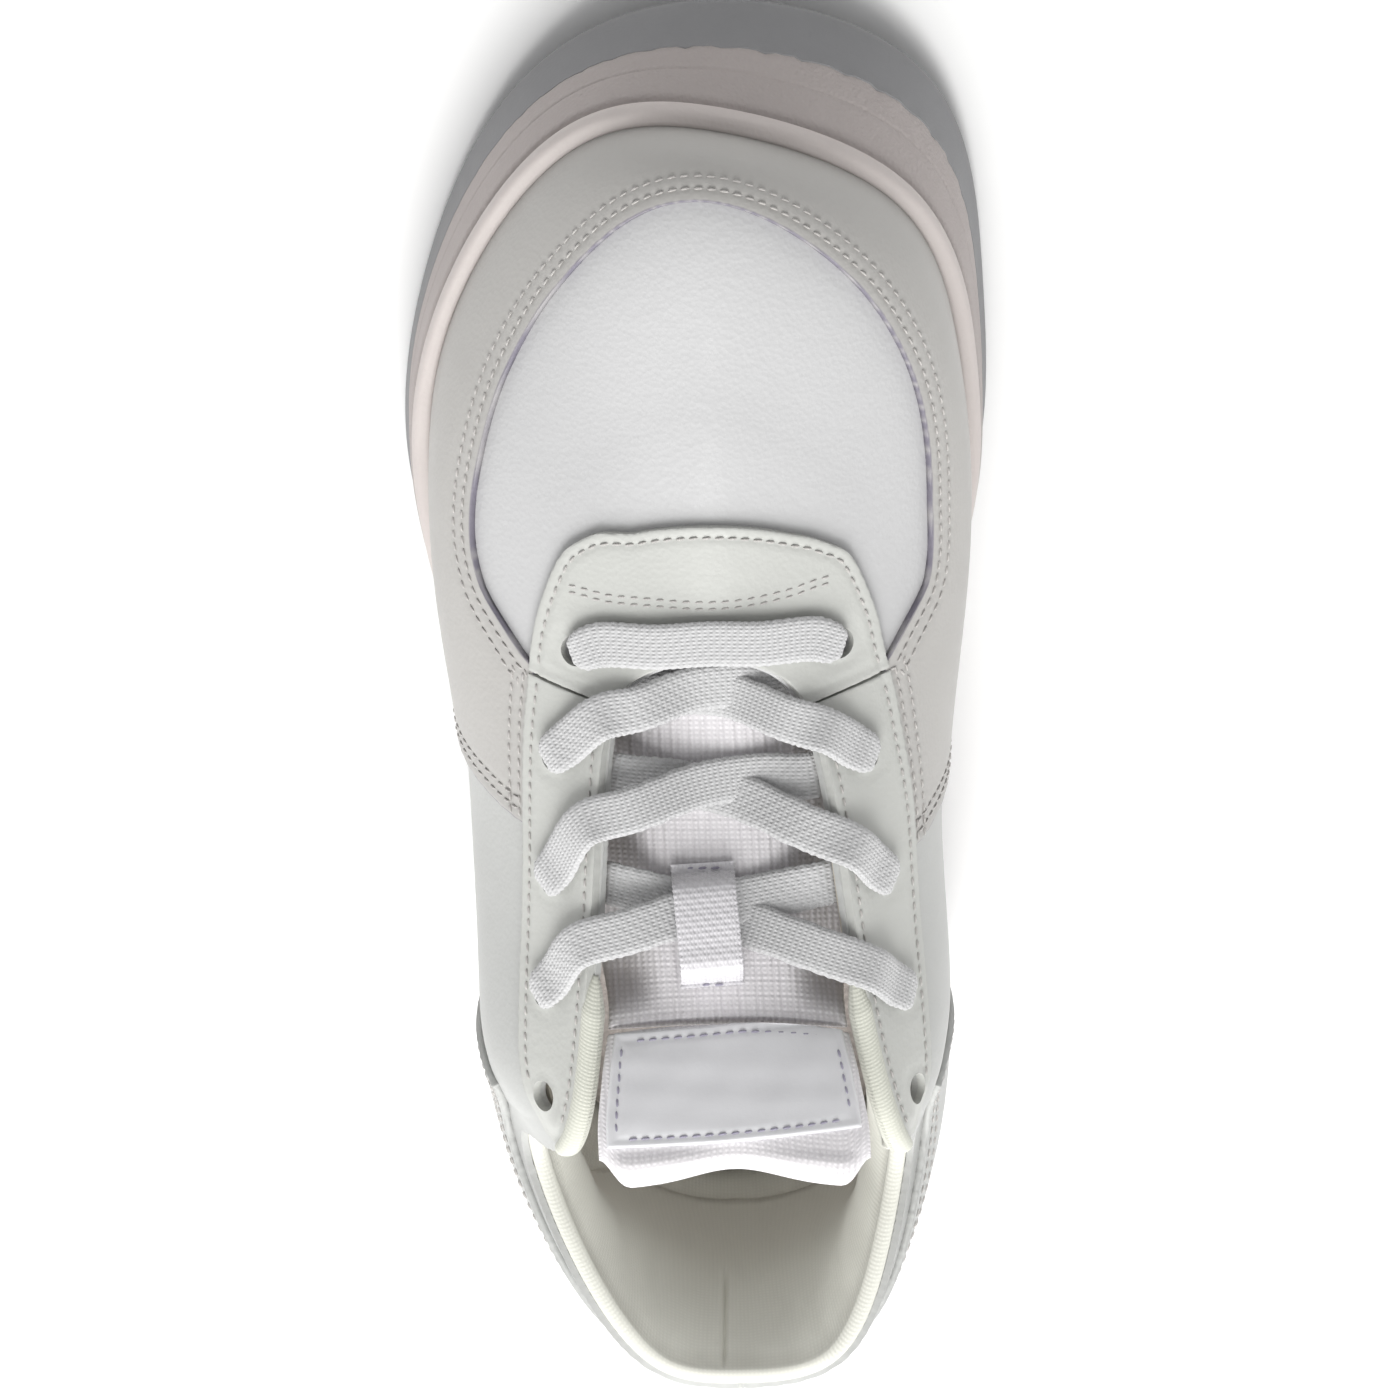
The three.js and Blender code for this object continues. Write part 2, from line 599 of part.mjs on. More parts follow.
function tonguePlate(name, material, { from, to, rows, span, columns, lift, thick }) {
  const depth = asFunction(thick);
  const points = [];
  const at = (i, j, side) => (i * (columns + 1) + j) * 2 + side;
  for (let i = 0; i <= rows; i += 1) {
    const s = mix(from, to, i / rows);
    for (let j = 0; j <= columns; j += 1) {
      const t = mix(span[0], span[1], j / columns);
      points.push(tonguePoint(s, t, lift), tonguePoint(s, t, lift - depth(s, t)));
    }
  }
  const triangles = [];
  const quad = (a, b, c, d) => triangles.push([a, b, c], [a, c, d]);
  for (let i = 0; i < rows; i += 1) {
    for (let j = 0; j < columns; j += 1) {
      quad(at(i, j, 0), at(i + 1, j, 0), at(i + 1, j + 1, 0), at(i, j + 1, 0));
      quad(at(i, j, 1), at(i, j + 1, 1), at(i + 1, j + 1, 1), at(i + 1, j, 1));
    }
    quad(at(i, 0, 0), at(i, 0, 1), at(i + 1, 0, 1), at(i + 1, 0, 0));
    quad(at(i, columns, 0), at(i + 1, columns, 0), at(i + 1, columns, 1), at(i, columns, 1));
  }
  for (let j = 0; j < columns; j += 1) {
    quad(at(0, j, 0), at(0, j + 1, 0), at(0, j + 1, 1), at(0, j, 1));
    quad(at(rows, j, 0), at(rows, j, 1), at(rows, j + 1, 1), at(rows, j + 1, 0));
  }
  return body(name, material, points, triangles);
}

function tongueThickness(s, t) {
  return tongueRow(s).thick * mix(1, 0.45, Math.abs(t) ** 3);
}

const TONGUE_END = TONGUE.length - 1;
const tonguePieces = [
  tonguePlate("tongue_lower", MESH_FABRIC, {
    from: 0, to: TONGUE_FOLD - FOLD_GAP, rows: 13, span: [-1, 1], columns: 10, lift: 0,
    thick: tongueThickness,
  }),
  tonguePlate("tongue_upper", MESH_FABRIC, {
    from: TONGUE_FOLD + FOLD_GAP, to: TONGUE_END, rows: 8, span: [-1, 1], columns: 10, lift: 0,
    thick: tongueThickness,
  }),
  tonguePlate("tongue_label", LABEL_FILM, {
    from: 6.45, to: 8.4, rows: 4, span: [-0.93, 0.93], columns: 6, lift: 1.1, thick: 0.8,
  }),
];

// ---- flat strips swept along a path ---------------------------------------

// knots: { at, face, width, thick }, where face is the way the strip's flat side looks.
function strip(name, material, knots, perKnot) {
  const curve = new THREE.CatmullRomCurve3(knots.map((knot) => knot.at), false, "centripetal");
  const spans = knots.length - 1;
  const corners = [[-0.5, 0], [-0.4, 0.5], [0.4, 0.5], [0.5, 0], [0.4, -0.5], [-0.4, -0.5]];
  const points = [];
  const count = spans * perKnot;
  for (let i = 0; i <= count; i += 1) {
    const t = i / count;
    const a = Math.min(Math.floor(i / perKnot), spans - 1);
    const local = i / perKnot - a;
    const [now, next] = [knots[a], knots[a + 1]];
    const run = curve.getPoint(Math.min(t + 1e-4, 1)).sub(curve.getPoint(Math.max(t - 1e-4, 0)));
    run.normalize();
    const face = now.face.clone().lerp(next.face, smooth(local, 0, 1));
    face.addScaledVector(run, -face.dot(run)).normalize();
    const across = run.clone().cross(face);
    const width = mix(now.width, next.width, local);
    const thick = mix(now.thick, next.thick, local);
    const centre = curve.getPoint(t);
    for (const [x, y] of corners) {
      points.push(centre.clone().addScaledVector(across, x * width).addScaledVector(face, y * thick));
    }
  }
  const n = corners.length;
  const triangles = [];
  for (let i = 0; i < count; i += 1) {
    for (let j = 0; j < n; j += 1) {
      const a = i * n + j;
      const b = i * n + ((j + 1) % n);
      triangles.push([a, b, b + n], [a, b + n, a + n]);
    }
  }
  const end = count * n;
  for (let j = 1; j + 1 < n; j += 1) {
    triangles.push([0, j + 1, j], [end, end + j, end + j + 1]);
  }
  return body(name, material, points, triangles);
}

// ---- lace -----------------------------------------------------------------

const LACE_ABOVE = OVERLAY[1] + 0.3 + LACE_THICK / 2;
const LACE_BELOW = STIFFENER[0] - 0.35 - LACE_THICK / 2;

function knotOn(u, v, distance, turn, width = LACE_WIDTH, thick = LACE_THICK) {
  const face = normalAt(u, v).multiplyScalar(turn);
  return { at: offset(u, v, distance), face, width, thick };
}

// Down (or, reversed, up) through one eyelet: flat along the flap from one place, over the
// hole's lip, through it, and away under the flap toward the other place. shy is how far
// short of the hole's middle it goes down.
function throughEyelet([u, v], comeFrom, goTo, turn, shy = 0) {
  const hole = surface(u, v);
  const normal = normalAt(u, v);
  const along = (place) => {
    const run = place.clone().sub(hole);
    return run.addScaledVector(normal, -run.dot(normal)).normalize();
  };
  const back = along(comeFrom);
  const away = along(goTo);
  const knot = (way, far, height, across, level, width, thick) => ({
    at: hole.clone().addScaledVector(way, far).addScaledVector(normal, height),
    face: back.clone().multiplyScalar(-across).addScaledVector(normal, level).multiplyScalar(turn),
    width, thick,
  });
  return [
    knot(back, 4.4 + shy, LACE_ABOVE + 0.35, 0, 1, LACE_WIDTH, LACE_THICK),
    knot(back, 0.9 + shy, LACE_ABOVE + 0.5, 0.25, 1, 6.6, 1.3),
    knot(back, shy - 0.7, OVERLAY[1] + 0.5, 1, 0.5, 4.4, 1.6),
    knot(back, shy * 0.8, -0.4, 1, 0, 3.4, 2),
    knot(away, 0.3, STIFFENER[0] - 1.1, 1, -1, 3.8, 1.8),
    knot(away, 3.4, LACE_BELOW - 0.3, 0, -1, 5.4, LACE_THICK),
  ];
}

// Where the strand from a row passes under its own flap's edge, and where the strand that
// arrives at a row lies over that flap's edge.
function underEdge({ eyelets, under }, row) {
  const u = mix(eyelets[row][0], eyelets[row + 1][0], under[row]);
  return { u, at: offset(u, 0.985, LACE_BELOW) };
}

function overEdge({ eyelets, over }, row) {
  const u = mix(eyelets[row][0], eyelets[row - 1][0], over[row]);
  return { u, at: offset(u, 0.99, LACE_ABOVE + 1.25) };
}

// The strand from one side's row to the next row on the other side. It starts under its own
// flap, climbs through the throat, crosses the middle and lies over the other flap.
function crossing(side, otherSide, row, turn, lift) {
  const under = underEdge(side, row);
  const over = overEdge(otherSide, row + 1);
  const size = { width: LACE_WIDTH, thick: LACE_THICK };
  const onTongue = (share, height) => {
    const point = under.at.clone().lerp(over.at, share);
    const s = nearestTongueRow(point.y);
    const place = tongueRow(s);
    const t = (point.x - place.centre.x) / place.half;
    return { at: tonguePoint(s, t, height), face: place.up.clone().multiplyScalar(turn), ...size };
  };
  const middle = onTongue(0.5, lift);
  const high = middle.at.clone().lerp(over.at, 0.6).addScaledVector(middle.face, 1.7 * turn);
  return [
    { at: under.at, face: normalAt(under.u, 0.985).multiplyScalar(turn), ...size },
    onTongue(0.25, LOWER_STRAND + 0.2),
    middle,
    { at: high, face: middle.face, ...size },
    { at: over.at, face: normalAt(over.u, 0.99).multiplyScalar(turn), ...size },
  ];
}

function nearestTongueRow(y) {
  let best = 0;
  for (let s = 0; s <= TONGUE_END; s += 0.02) {
    if (Math.abs(tongueRow(s).centre.y - y) < Math.abs(tongueRow(best).centre.y - y)) {
      best = s;
    }
  }
  return best;
}

// One half of the lace, from the middle of the front bar to its tucked end.
function laceHalf(startSide, otherSide) {
  let turn = 1;
  let [here, there] = [startSide, otherSide];
  const opposite = surface(...otherSide.eyelets[0]);
  opposite.y += BAR_RISE;
  const away = underEdge(here, 0).at;
  const knots = [...throughEyelet(here.eyelets[0], opposite, away, turn, BAR_SHY)];
  for (let row = 0; row + 1 < LACED_ROWS; row += 1) {
    turn = -turn;
    knots.push(...crossing(here, there, row, turn, here.lift));
    const arrive = overEdge(there, row + 1).at;
    const eyelet = there.eyelets[row + 1];
    const last = row + 2 === LACED_ROWS;
    const leave = last ? surface(eyelet[0], 0.7) : underEdge(there, row + 1).at;
    knots.push(...throughEyelet(eyelet, arrive, leave, turn));
    [here, there] = [there, here];
  }
  const [u] = here.eyelets[LACED_ROWS - 1];
  const onward = Math.sign(here.eyelets[LACED_ROWS][0] - u);
  for (const [du, v, distance] of [[0.1, 0.72, -5.2], [0.2, 0.62, -5.8], [0.25, 0.5, -6]]) {
    knots.push(knotOn(u + onward * du, v, distance, -turn, 4.6, 1.5));
  }
  for (const v of [0.36, 0.2]) {
    knots.push(knotOn(u + onward * 0.26, v, -6.2, -turn, AGLET_BORE, AGLET_BORE));
  }
  return knots;
}

// Height of the throat tab's top face under a point of the front bar.
function tabTop(x, y) {
  let best = surface(10, 0.9);
  for (let u = 7; u <= 13; u += 0.05) {
    for (let v = 0.8; v <= 1; v += 0.01) {
      const point = offset(u, v, OVERLAY[1]);
      if (Math.hypot(point.x - x, point.y - y) < Math.hypot(best.x - x, best.y - y)) {
        best = point;
      }
    }
  }
  return best.z;
}

function frontBar() {
  const ends = [surface(...EYELETS_MEDIAL[0]), surface(...EYELETS_LATERAL[0])];
  return [0.3, 0.5, 0.7].map((share) => {
    const at = new THREE.Vector3().lerpVectors(ends[0], ends[1], share);
    at.y += BAR_SHIFT + BAR_BOW * Math.sin(Math.PI * share);
    at.z = tabTop(at.x, at.y) + 0.9 + LACE_THICK / 2;
    const face = new THREE.Vector3(mix(0.25, -0.25, share), 0.22, 1).normalize();
    return { at, face, width: LACE_WIDTH, thick: LACE_THICK };
  });
}

const medialHalf = laceHalf(MEDIAL_SIDE, LATERAL_SIDE);
const lateralHalf = laceHalf(LATERAL_SIDE, MEDIAL_SIDE);
const laceKnots = [...medialHalf.reverse(), ...frontBar(), ...lateralHalf];

const shoelace = strip("shoelace", LACE_COTTON, laceKnots, 2);

// A thin tube crimped round one tucked end of the lace.
function aglet(name, knotA, knotB) {
  const along = new THREE.Vector3().subVectors(knotB.at, knotA.at);
  const length = along.length() - 1;
  const profile = [[1.35, 0], [1.75, 0], [1.75, length], [1.35, length], [1.35, 0]]
    .map(([r, h]) => new THREE.Vector2(r, h));
  const mesh = new THREE.Mesh(new THREE.LatheGeometry(profile, 12), CLEAR_PLASTIC);
  mesh.name = name;
  mesh.position.copy(knotA.at).addScaledVector(along.clone().normalize(), 0.5);
  mesh.quaternion.setFromUnitVectors(new THREE.Vector3(0, 1, 0), along.normalize());
  return mesh;
}

const lastKnot = laceKnots.length - 1;
const aglets = [
  aglet("aglet_lateral", laceKnots[1], laceKnots[0]),
  aglet("aglet_medial", laceKnots[lastKnot - 1], laceKnots[lastKnot]),
];

// ---- keeper loop on the tongue --------------------------------------------

function keeperKnot(s, lift) {
  return { at: tonguePoint(s, -0.12, lift), face: tongueRow(s).up, width: 9.4, thick: 0.9 };
}

const laceKeeper = strip("lace_keeper", MESH_FABRIC, [
  keeperKnot(3.86, 0.85), keeperKnot(3.98, 1), keeperKnot(4.14, 4.7), keeperKnot(4.55, 6),
  keeperKnot(5.1, 6.4), keeperKnot(5.5, 6.2), keeperKnot(5.72, 1), keeperKnot(5.82, 0.85),
], 2);

const shoe = new THREE.Group();
shoe.add(outsole, cupsole, midsoleFoam, insoleBoard, sockliner, ...UPPER, ...tonguePieces,
  laceKeeper, shoelace, ...aglets);

export default shoe;
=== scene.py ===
"""A child's low white court sneaker for the left foot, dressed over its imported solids."""
import math

import bmesh
import bpy
import numpy as np
from mathutils import Matrix, Vector


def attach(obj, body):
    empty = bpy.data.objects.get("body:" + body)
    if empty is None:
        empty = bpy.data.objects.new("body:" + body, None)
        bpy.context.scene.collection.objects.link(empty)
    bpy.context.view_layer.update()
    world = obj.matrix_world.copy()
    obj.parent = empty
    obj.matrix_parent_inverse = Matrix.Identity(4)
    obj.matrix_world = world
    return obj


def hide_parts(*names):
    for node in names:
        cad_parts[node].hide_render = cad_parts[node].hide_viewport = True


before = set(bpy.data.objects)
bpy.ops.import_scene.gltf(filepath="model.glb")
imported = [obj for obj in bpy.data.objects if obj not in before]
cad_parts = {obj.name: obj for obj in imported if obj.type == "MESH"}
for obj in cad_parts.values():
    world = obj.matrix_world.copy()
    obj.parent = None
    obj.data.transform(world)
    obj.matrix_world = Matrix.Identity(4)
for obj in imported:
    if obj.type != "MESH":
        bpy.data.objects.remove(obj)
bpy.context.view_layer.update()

MM = 0.001
SHOE = "shoe"
TONGUE_TOP = "tongue_top"

# ---- driving dimensions, in millimetres: the solids' own, then the stitches' ----

# Station by station round the foot, from the heel's back along the medial side to the toe
# tip and back: the sole's edge, then sole rim, lower side, upper side and top line.
STATIONS = [
    [(6, -111), (6, -105, 27), (6, -109, 42), (6, -110.5, 60), (6, -109.5, 78)],
    [(29, -101), (26, -97, 27), (27.5, -100, 42), (27, -102.5, 58), (24, -105.5, 75)],
    [(41, -80), (36, -80, 27), (38, -81, 42), (37, -82, 55), (32.5, -86, 67)],
    [(41, -60), (37, -60, 26), (40, -61, 42), (38.5, -63, 55), (35, -68, 64)],
    [(39.6, -40), (35.5, -40, 25), (40, -43, 44), (39, -49, 67), (31.5, -56, 87)],
    [(39.5, -20), (35, -20, 25), (39, -22, 42), (36, -28, 64), (25, -34, 83.5)],
    [(42, 2), (36, 0, 24), (39.5, -2, 40), (34.5, -5, 58.5), (20.5, -6, 75)],
    [(47, 28), (41, 28, 24), (42, 24, 38), (33, 17, 55), (15.5, 13.5, 67.5)],
    [(46.5, 58), (39.7, 58, 25), (39.5, 53, 39), (26, 41, 54.5), (9, 20, 66.5)],
    [(37, 94), (28.9, 83.5, 29.3), (27.5, 78, 43), (15.5, 54, 55.5), (4.5, 21.3, 66)],
    [(4, 109.5), (1.9, 95.9, 31.5), (2.5, 94.5, 45), (1.5, 61, 57), (1, 21.5, 65.8)],
    [(-27, 95), (-21.2, 90.4, 29.3), (-19.5, 83, 43), (-11.5, 56, 55.5), (-2.5, 21.3, 66)],
    [(-43.5, 60), (-38.5, 60, 25), (-36.5, 54, 39), (-24, 42, 54.5), (-7, 20, 66.5)],
    [(-47.5, 28), (-41.5, 28, 24), (-41.5, 24, 38), (-31, 17, 55), (-13.5, 13.5, 67.5)],
    [(-42.5, 2), (-36.5, 0, 24), (-38.5, -2, 40), (-31.5, -5, 58.5), (-16, -6, 75)],
    [(-37.6, -20), (-33.5, -20, 25), (-37, -22, 42), (-32, -28, 64), (-18, -34, 83.5)],
    [(-34.6, -40), (-31.5, -40, 25), (-35.5, -43, 44), (-34.5, -49, 67), (-22.5, -56, 87)],
    [(-32.8, -60), (-29, -60, 26), (-34, -61, 42), (-33.8, -63, 55), (-29.5, -68, 64)],
    [(-30.2, -80), (-26, -80, 27), (-29.5, -81, 42), (-29, -83, 55), (-24.5, -86.5, 67)],
    [(-18, -101), (-14, -97, 27), (-15.5, -100, 42), (-15.5, -102.5, 58), (-11.2, -105.8, 75)],
]
COUNT = len(STATIONS)
RISE = [0, 0.14, 0.34, 0.66, 1]

TOE_SPRING = 8.5
TOE_SPRING_START = 60
TOE_SPRING_RUN = 50
HEEL_BEVEL = 2.5
HEEL_BEVEL_START = -95
HEEL_BEVEL_RUN = 16
FLOOR_FRONT = 12
FLOOR_RISE = 7
TUCK = 1.5
OUTSOLE_THICK = 5
BUMPER_TOE = 11
BUMPER_SIDE = 6.5
LIP_WIDTH = 2.2
OVERLAY_TOP = 1.7  # how far the solids' overlays reach out from the shaping surface
STAY_BOTTOM = -2.5
CUP_GAP = 0.6

EYELETS_MEDIAL = [(7.45, 0.85), (6.45, 0.872), (5.62, 0.862), (4.9, 0.85), (4.3, 0.885)]
EYELETS_LATERAL = [(12.62, 0.85), (13.55, 0.855), (14.38, 0.858), (15.06, 0.86), (15.68, 0.9)]
EYELET_RADIUS = 2.5
LACED_ROWS = 4
LACE_WIDTH = 7.4
LACE_THICK = 1.2
AGLET_BORE = 1.7
BAR_BOW = 2.5
BAR_SHIFT = 1.4
BAR_RISE = 14
BAR_SHY = 0.9
LOWER_STRAND = 1.3
UPPER_STRAND = 2.9
MEDIAL_SIDE = {
    "eyelets": EYELETS_MEDIAL, "under": (0.1, 0.05, -0.15), "over": (0, 0.3, 0.4, 0.5),
    "lift": UPPER_STRAND,
}
LATERAL_SIDE = {
    "eyelets": EYELETS_LATERAL, "under": (0.1, 0.05, -0.15), "over": (0, 0.5, 0.6, 0.7),
    "lift": LOWER_STRAND,
}

# The tongue's centre line: x, y, z, half width, edge drop, thickness.
TONGUE = [
    (1, 36, 57.4, 16, 5, 2.2), (1, 22, 60.4, 19, 6, 2.4), (1.2, 12, 63, 21.5, 7.5, 2.6),
    (1.8, -1, 67.4, 22.5, 8.5, 2.6), (2.4, -13, 73.4, 22, 8.5, 2.6), (3, -22, 78.6, 20, 7.5, 3),
    (3.5, -29.5, 84, 18.8, 5.5, 4), (3.9, -36.5, 92, 20.3, 5, 6), (4.3, -43.5, 100, 21.5, 5, 8),
    (4.6, -49.5, 106, 21.5, 6, 7),
]
TONGUE_END = len(TONGUE) - 1
TONGUE_FOLD = 6.35
FOLD_GAP = 0.06

EYESTAY_EDGE = [
    (3.95, 0.93), (4.1, 0.86), (4.4, 0.79), (5, 0.74), (5.8, 0.725), (6.65, 0.75), (7.12, 0.752),
    (7.5, 0.74), (7.9, 0.738), (8.3, 0.764), (8.85, 0.79), (10.1, 0.815), (11.25, 0.793),
    (11.8, 0.75), (12.15, 0.73), (12.6, 0.735), (13.2, 0.757), (14, 0.758), (14.9, 0.765),
    (15.5, 0.795), (15.85, 0.86), (16.02, 0.93),
]
VAMP_LINE = [
    (7.08, 0.75), (7.18, 0.69), (7.32, 0.57), (7.7, 0.51), (8.12, 0.462), (8.6, 0.425),
    (9.2, 0.395), (9.9, 0.385), (10.65, 0.375), (11.2, 0.382), (11.65, 0.407), (12.08, 0.45),
    (12.5, 0.495), (12.72, 0.56), (12.86, 0.69), (12.94, 0.75),
]
MUDGUARD_REAR = (5.62, 14.14)
FOXING_FRONT = (3.42, 16.52)
TAB_SPLIT = (7.02, 12.98)
VAMP_SPLIT = (6.9, 13.1)

STITCH_PITCH = 2.05
STITCH_LENGTH = 1.45
STITCH_WIDTH = 0.42
STITCH_LEAN = 0.1
STITCH_DIP = 0.22
STITCH_RISE = 0.08


# ---- numbers and curves ----------------------------------------------------

def smoothstep(x, low, high):
    t = np.clip((np.asarray(x, float) - low) / (high - low), 0, 1)
    return t * t * (3 - 2 * t)


def mix(a, b, t):
    return a + (b - a) * t


def unit(vectors):
    return vectors / np.maximum(np.linalg.norm(vectors, axis=-1, keepdims=True), 1e-9)


def run_length(line):
    """How far along a polyline each of its points lies."""
    return np.concatenate([[0], np.cumsum(np.linalg.norm(np.diff(line, axis=0), axis=1))])


def table(pairs, at):
    """A smooth curve through (position, value) pairs that never overshoots them."""
    x, y = np.array(pairs, float).T
    step = np.diff(x)
    rate = np.diff(y) / step
    slope = np.zeros(len(x))
    slope[0], slope[-1] = rate[0], rate[-1]
    for k in range(1, len(x) - 1):
        if rate[k - 1] * rate[k] > 0:
            a, b = 2 * step[k] + step[k - 1], step[k] + 2 * step[k - 1]
            slope[k] = (a + b) / (a / rate[k - 1] + b / rate[k])
    at = np.clip(np.asarray(at, float), x[0], x[-1])
    k = np.clip(np.searchsorted(x, at, side="right") - 1, 0, len(x) - 2)
    t = (at - x[k]) / step[k]
    return hermite(y[k], slope[k] * step[k], y[k + 1], slope[k + 1] * step[k], t)


def hermite(p0, m0, p1, m1, t):
    t2, t3 = t * t, t * t * t
    return (2 * t3 - 3 * t2 + 1) * p0 + (t3 - 2 * t2 + t) * m0 + (3 * t2 - 2 * t3) * p1 + (t3 - t2) * m1


def closed_track(points):
    """Points of a smooth closed curve and their slopes."""
    points = np.array(points, float)
    slopes = np.zeros_like(points)
    for _ in range(40):
        around = np.roll(slopes, 1, 0) + np.roll(slopes, -1, 0)
        slopes = (3 * (np.roll(points, -1, 0) - np.roll(points, 1, 0)) - around) / 4
    return points, slopes


def read_track(track, u):
    points, slopes = track
    whole = np.floor(u).astype(int)
    a, b = whole % len(points), (whole + 1) % len(points)
    t = (u - whole)[..., None]
    return hermite(points[a], slopes[a], points[b], slopes[b], t)


def centripetal(points, t):
    """Centripetal spline through points, read at t from 0 to 1."""
    points = np.array(points, float)
    ends = [2 * points[0] - points[1]], [2 * points[-1] - points[-2]]
    padded = np.concatenate([ends[0], points, ends[1]])
    place = np.clip(np.asarray(t, float), 0, 1) * (len(points) - 1)
    i = np.minimum(place.astype(int), len(points) - 2)
    w = (place - i)[..., None]
    p0, p1, p2, p3 = (padded[i + k] for k in range(4))
    d0, d1, d2 = (
        np.sqrt(np.maximum(np.linalg.norm(b - a, axis=-1, keepdims=True), 1e-8))
        for a, b in ((p0, p1), (p1, p2), (p2, p3))
    )
    m1 = ((p1 - p0) / d0 - (p2 - p0) / (d0 + d1) + (p2 - p1) / d1) * d1
    m2 = ((p2 - p1) / d1 - (p3 - p1) / (d1 + d2) + (p3 - p2) / d2) * d1
    return hermite(p1, m1, p2, m2, w)


# ---- the upper's shaping surface -------------------------------------------

def sole_base(y):
    """Height of the sole's underside: flat, with a spring at the toe and a bevel at the heel."""
    toe = np.maximum(0, (y - TOE_SPRING_START) / TOE_SPRING_RUN)
    heel = np.maximum(0, (HEEL_BEVEL_START - y) / HEEL_BEVEL_RUN)
    return TOE_SPRING * toe**2 + HEEL_BEVEL * heel**2


def floor_height(y):
    """Height of the cup sole's floor, which rises toward the heel."""
    toe = np.maximum(0, (y - TOE_SPRING_START) / TOE_SPRING_RUN)
    return FLOOR_FRONT + FLOOR_RISE * (1 - smoothstep(y, -60, 40)) + TOE_SPRING * toe**2


def tucked_edge():
    """The upper's lower edge, turned in under the foot from the sole's rim."""
    rims = np.array([row[1] for row in STATIONS], float)
    run = np.roll(rims, -1, 0) - np.roll(rims, 1, 0)
    out = unit(np.stack([run[:, 1], -run[:, 0], 0 * run[:, 0]], 1))
    points = rims - TUCK * out
    points[:, 2] = floor_height(points[:, 1])
    return points


OUTLINE = closed_track([(*row[0], 0) for row in STATIONS])
TRACKS = [closed_track(tucked_edge())] + [
    closed_track([row[k] for row in STATIONS]) for k in (1, 2, 3, 4)
]


def surface(u, v):
    """Points of the shaping surface; v runs from the tucked edge to the top line."""
    u, v = np.broadcast_arrays(np.asarray(u, float), np.asarray(v, float))
    q = [read_track(track, u) for track in TRACKS]
    rate = [(q[k + 1] - q[k]) / (RISE[k + 1] - RISE[k]) for k in range(4)]
    slope = [rate[0]]
    for k in (1, 2, 3):
        w = (RISE[k] - RISE[k - 1]) / (RISE[k + 1] - RISE[k - 1])
        slope.append(mix(rate[k - 1], rate[k], w))
    slope.append(rate[3])
    out = np.zeros(u.shape + (3,))
    for k in range(4):
        inside = (v >= RISE[k] if k else v == v) & (v < RISE[k + 1] if k < 3 else v == v)
        span = RISE[k + 1] - RISE[k]
        t = ((v - RISE[k]) / span)[..., None]
        part = hermite(q[k], slope[k] * span, q[k + 1], slope[k + 1] * span, t)
        out[inside] = part[inside]
    return out


def partials(u, v):
    step = 1e-3
    u, v = np.broadcast_arrays(np.asarray(u, float), np.asarray(v, float))
    along = (surface(u + step, v) - surface(u - step, v)) / (2 * step)
    high, low = np.minimum(v + step, 1), np.maximum(v - step, 0)
    up = (surface(u, high) - surface(u, low)) / (high - low)[..., None]
    return along, up


def normal(u, v):
    along, up = partials(u, v)
    return unit(np.cross(along, up))


def offset(u, v, distance):
    return surface(u, v) + normal(u, v) * np.asarray(distance, float)[..., None]


def inset(u, v, distance):
    """Moves a line lying on the surface sideways by a distance, to its left as it runs."""
    run = unit(np.gradient(surface(u, v), axis=0))
    side = np.cross(normal(u, v), run) * distance
    along, up = partials(u, v)
    aa, bb, ab = (along * along).sum(-1), (up * up).sum(-1), (along * up).sum(-1)
    a, b = (side * along).sum(-1), (side * up).sum(-1)
    spread = aa * bb - ab * ab
    return u + (a * bb - b * ab) / spread, v + (b * aa - a * ab) / spread


# ---- meshes ----------------------------------------------------------------

def add_object(name, points, faces, material, body=SHOE, uv=None):
    """A mesh piece from points in millimetres; uv gives each point its place in metres."""
    mesh = bpy.data.meshes.new(name)
    mesh.from_pydata((np.asarray(points) * MM).tolist(), [], [list(map(int, f)) for f in faces])
    mesh.update()
    mesh.shade_smooth()
    if uv is not None:
        layer = mesh.uv_layers.new(name="run")
        index = np.zeros(len(mesh.loops), int)
        mesh.loops.foreach_get("vertex_index", index)
        layer.data.foreach_set("uv", np.asarray(uv, np.float32)[index].ravel())
    mesh.materials.append(material)
    obj = bpy.data.objects.new(name, mesh)
    bpy.context.scene.collection.objects.link(obj)
    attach(obj, body)
    return obj


def add_tube(name, points, material, uv, flip=False):
    """A tube from rows of section points, capped at both ends; flip turns its caps over."""
    rows, columns = points.shape[:2]
    faces = [tuple(f) for f in grid_faces(rows, columns, wrap_columns=True)]
    first, last = tuple(range(columns)), tuple(range((rows - 1) * columns, rows * columns))
    faces += [first[::-1], last] if flip else [first, last[::-1]]
    return add_object(name, points.reshape(-1, 3), faces, material, uv=uv)


def mark(obj, name, values):
    """Stores one number per vertex for the materials to read."""
    layer = obj.data.attributes.new(name, "FLOAT", "POINT")
    layer.data.foreach_set("value", np.asarray(values, np.float32).ravel())


def grid_faces(rows, columns, wrap_rows=False, wrap_columns=False):
    """Quads between the points of a grid, which may close on itself either way."""
    i = np.arange(rows if wrap_rows else rows - 1)
    j = np.arange(columns if wrap_columns else columns - 1)
    i, j = (a.ravel() for a in np.meshgrid(i, j, indexing="ij"))
    i2, j2 = (i + 1) % rows, (j + 1) % columns
    return np.stack([i * columns + j, i2 * columns + j, i2 * columns + j2, i * columns + j2], 1)


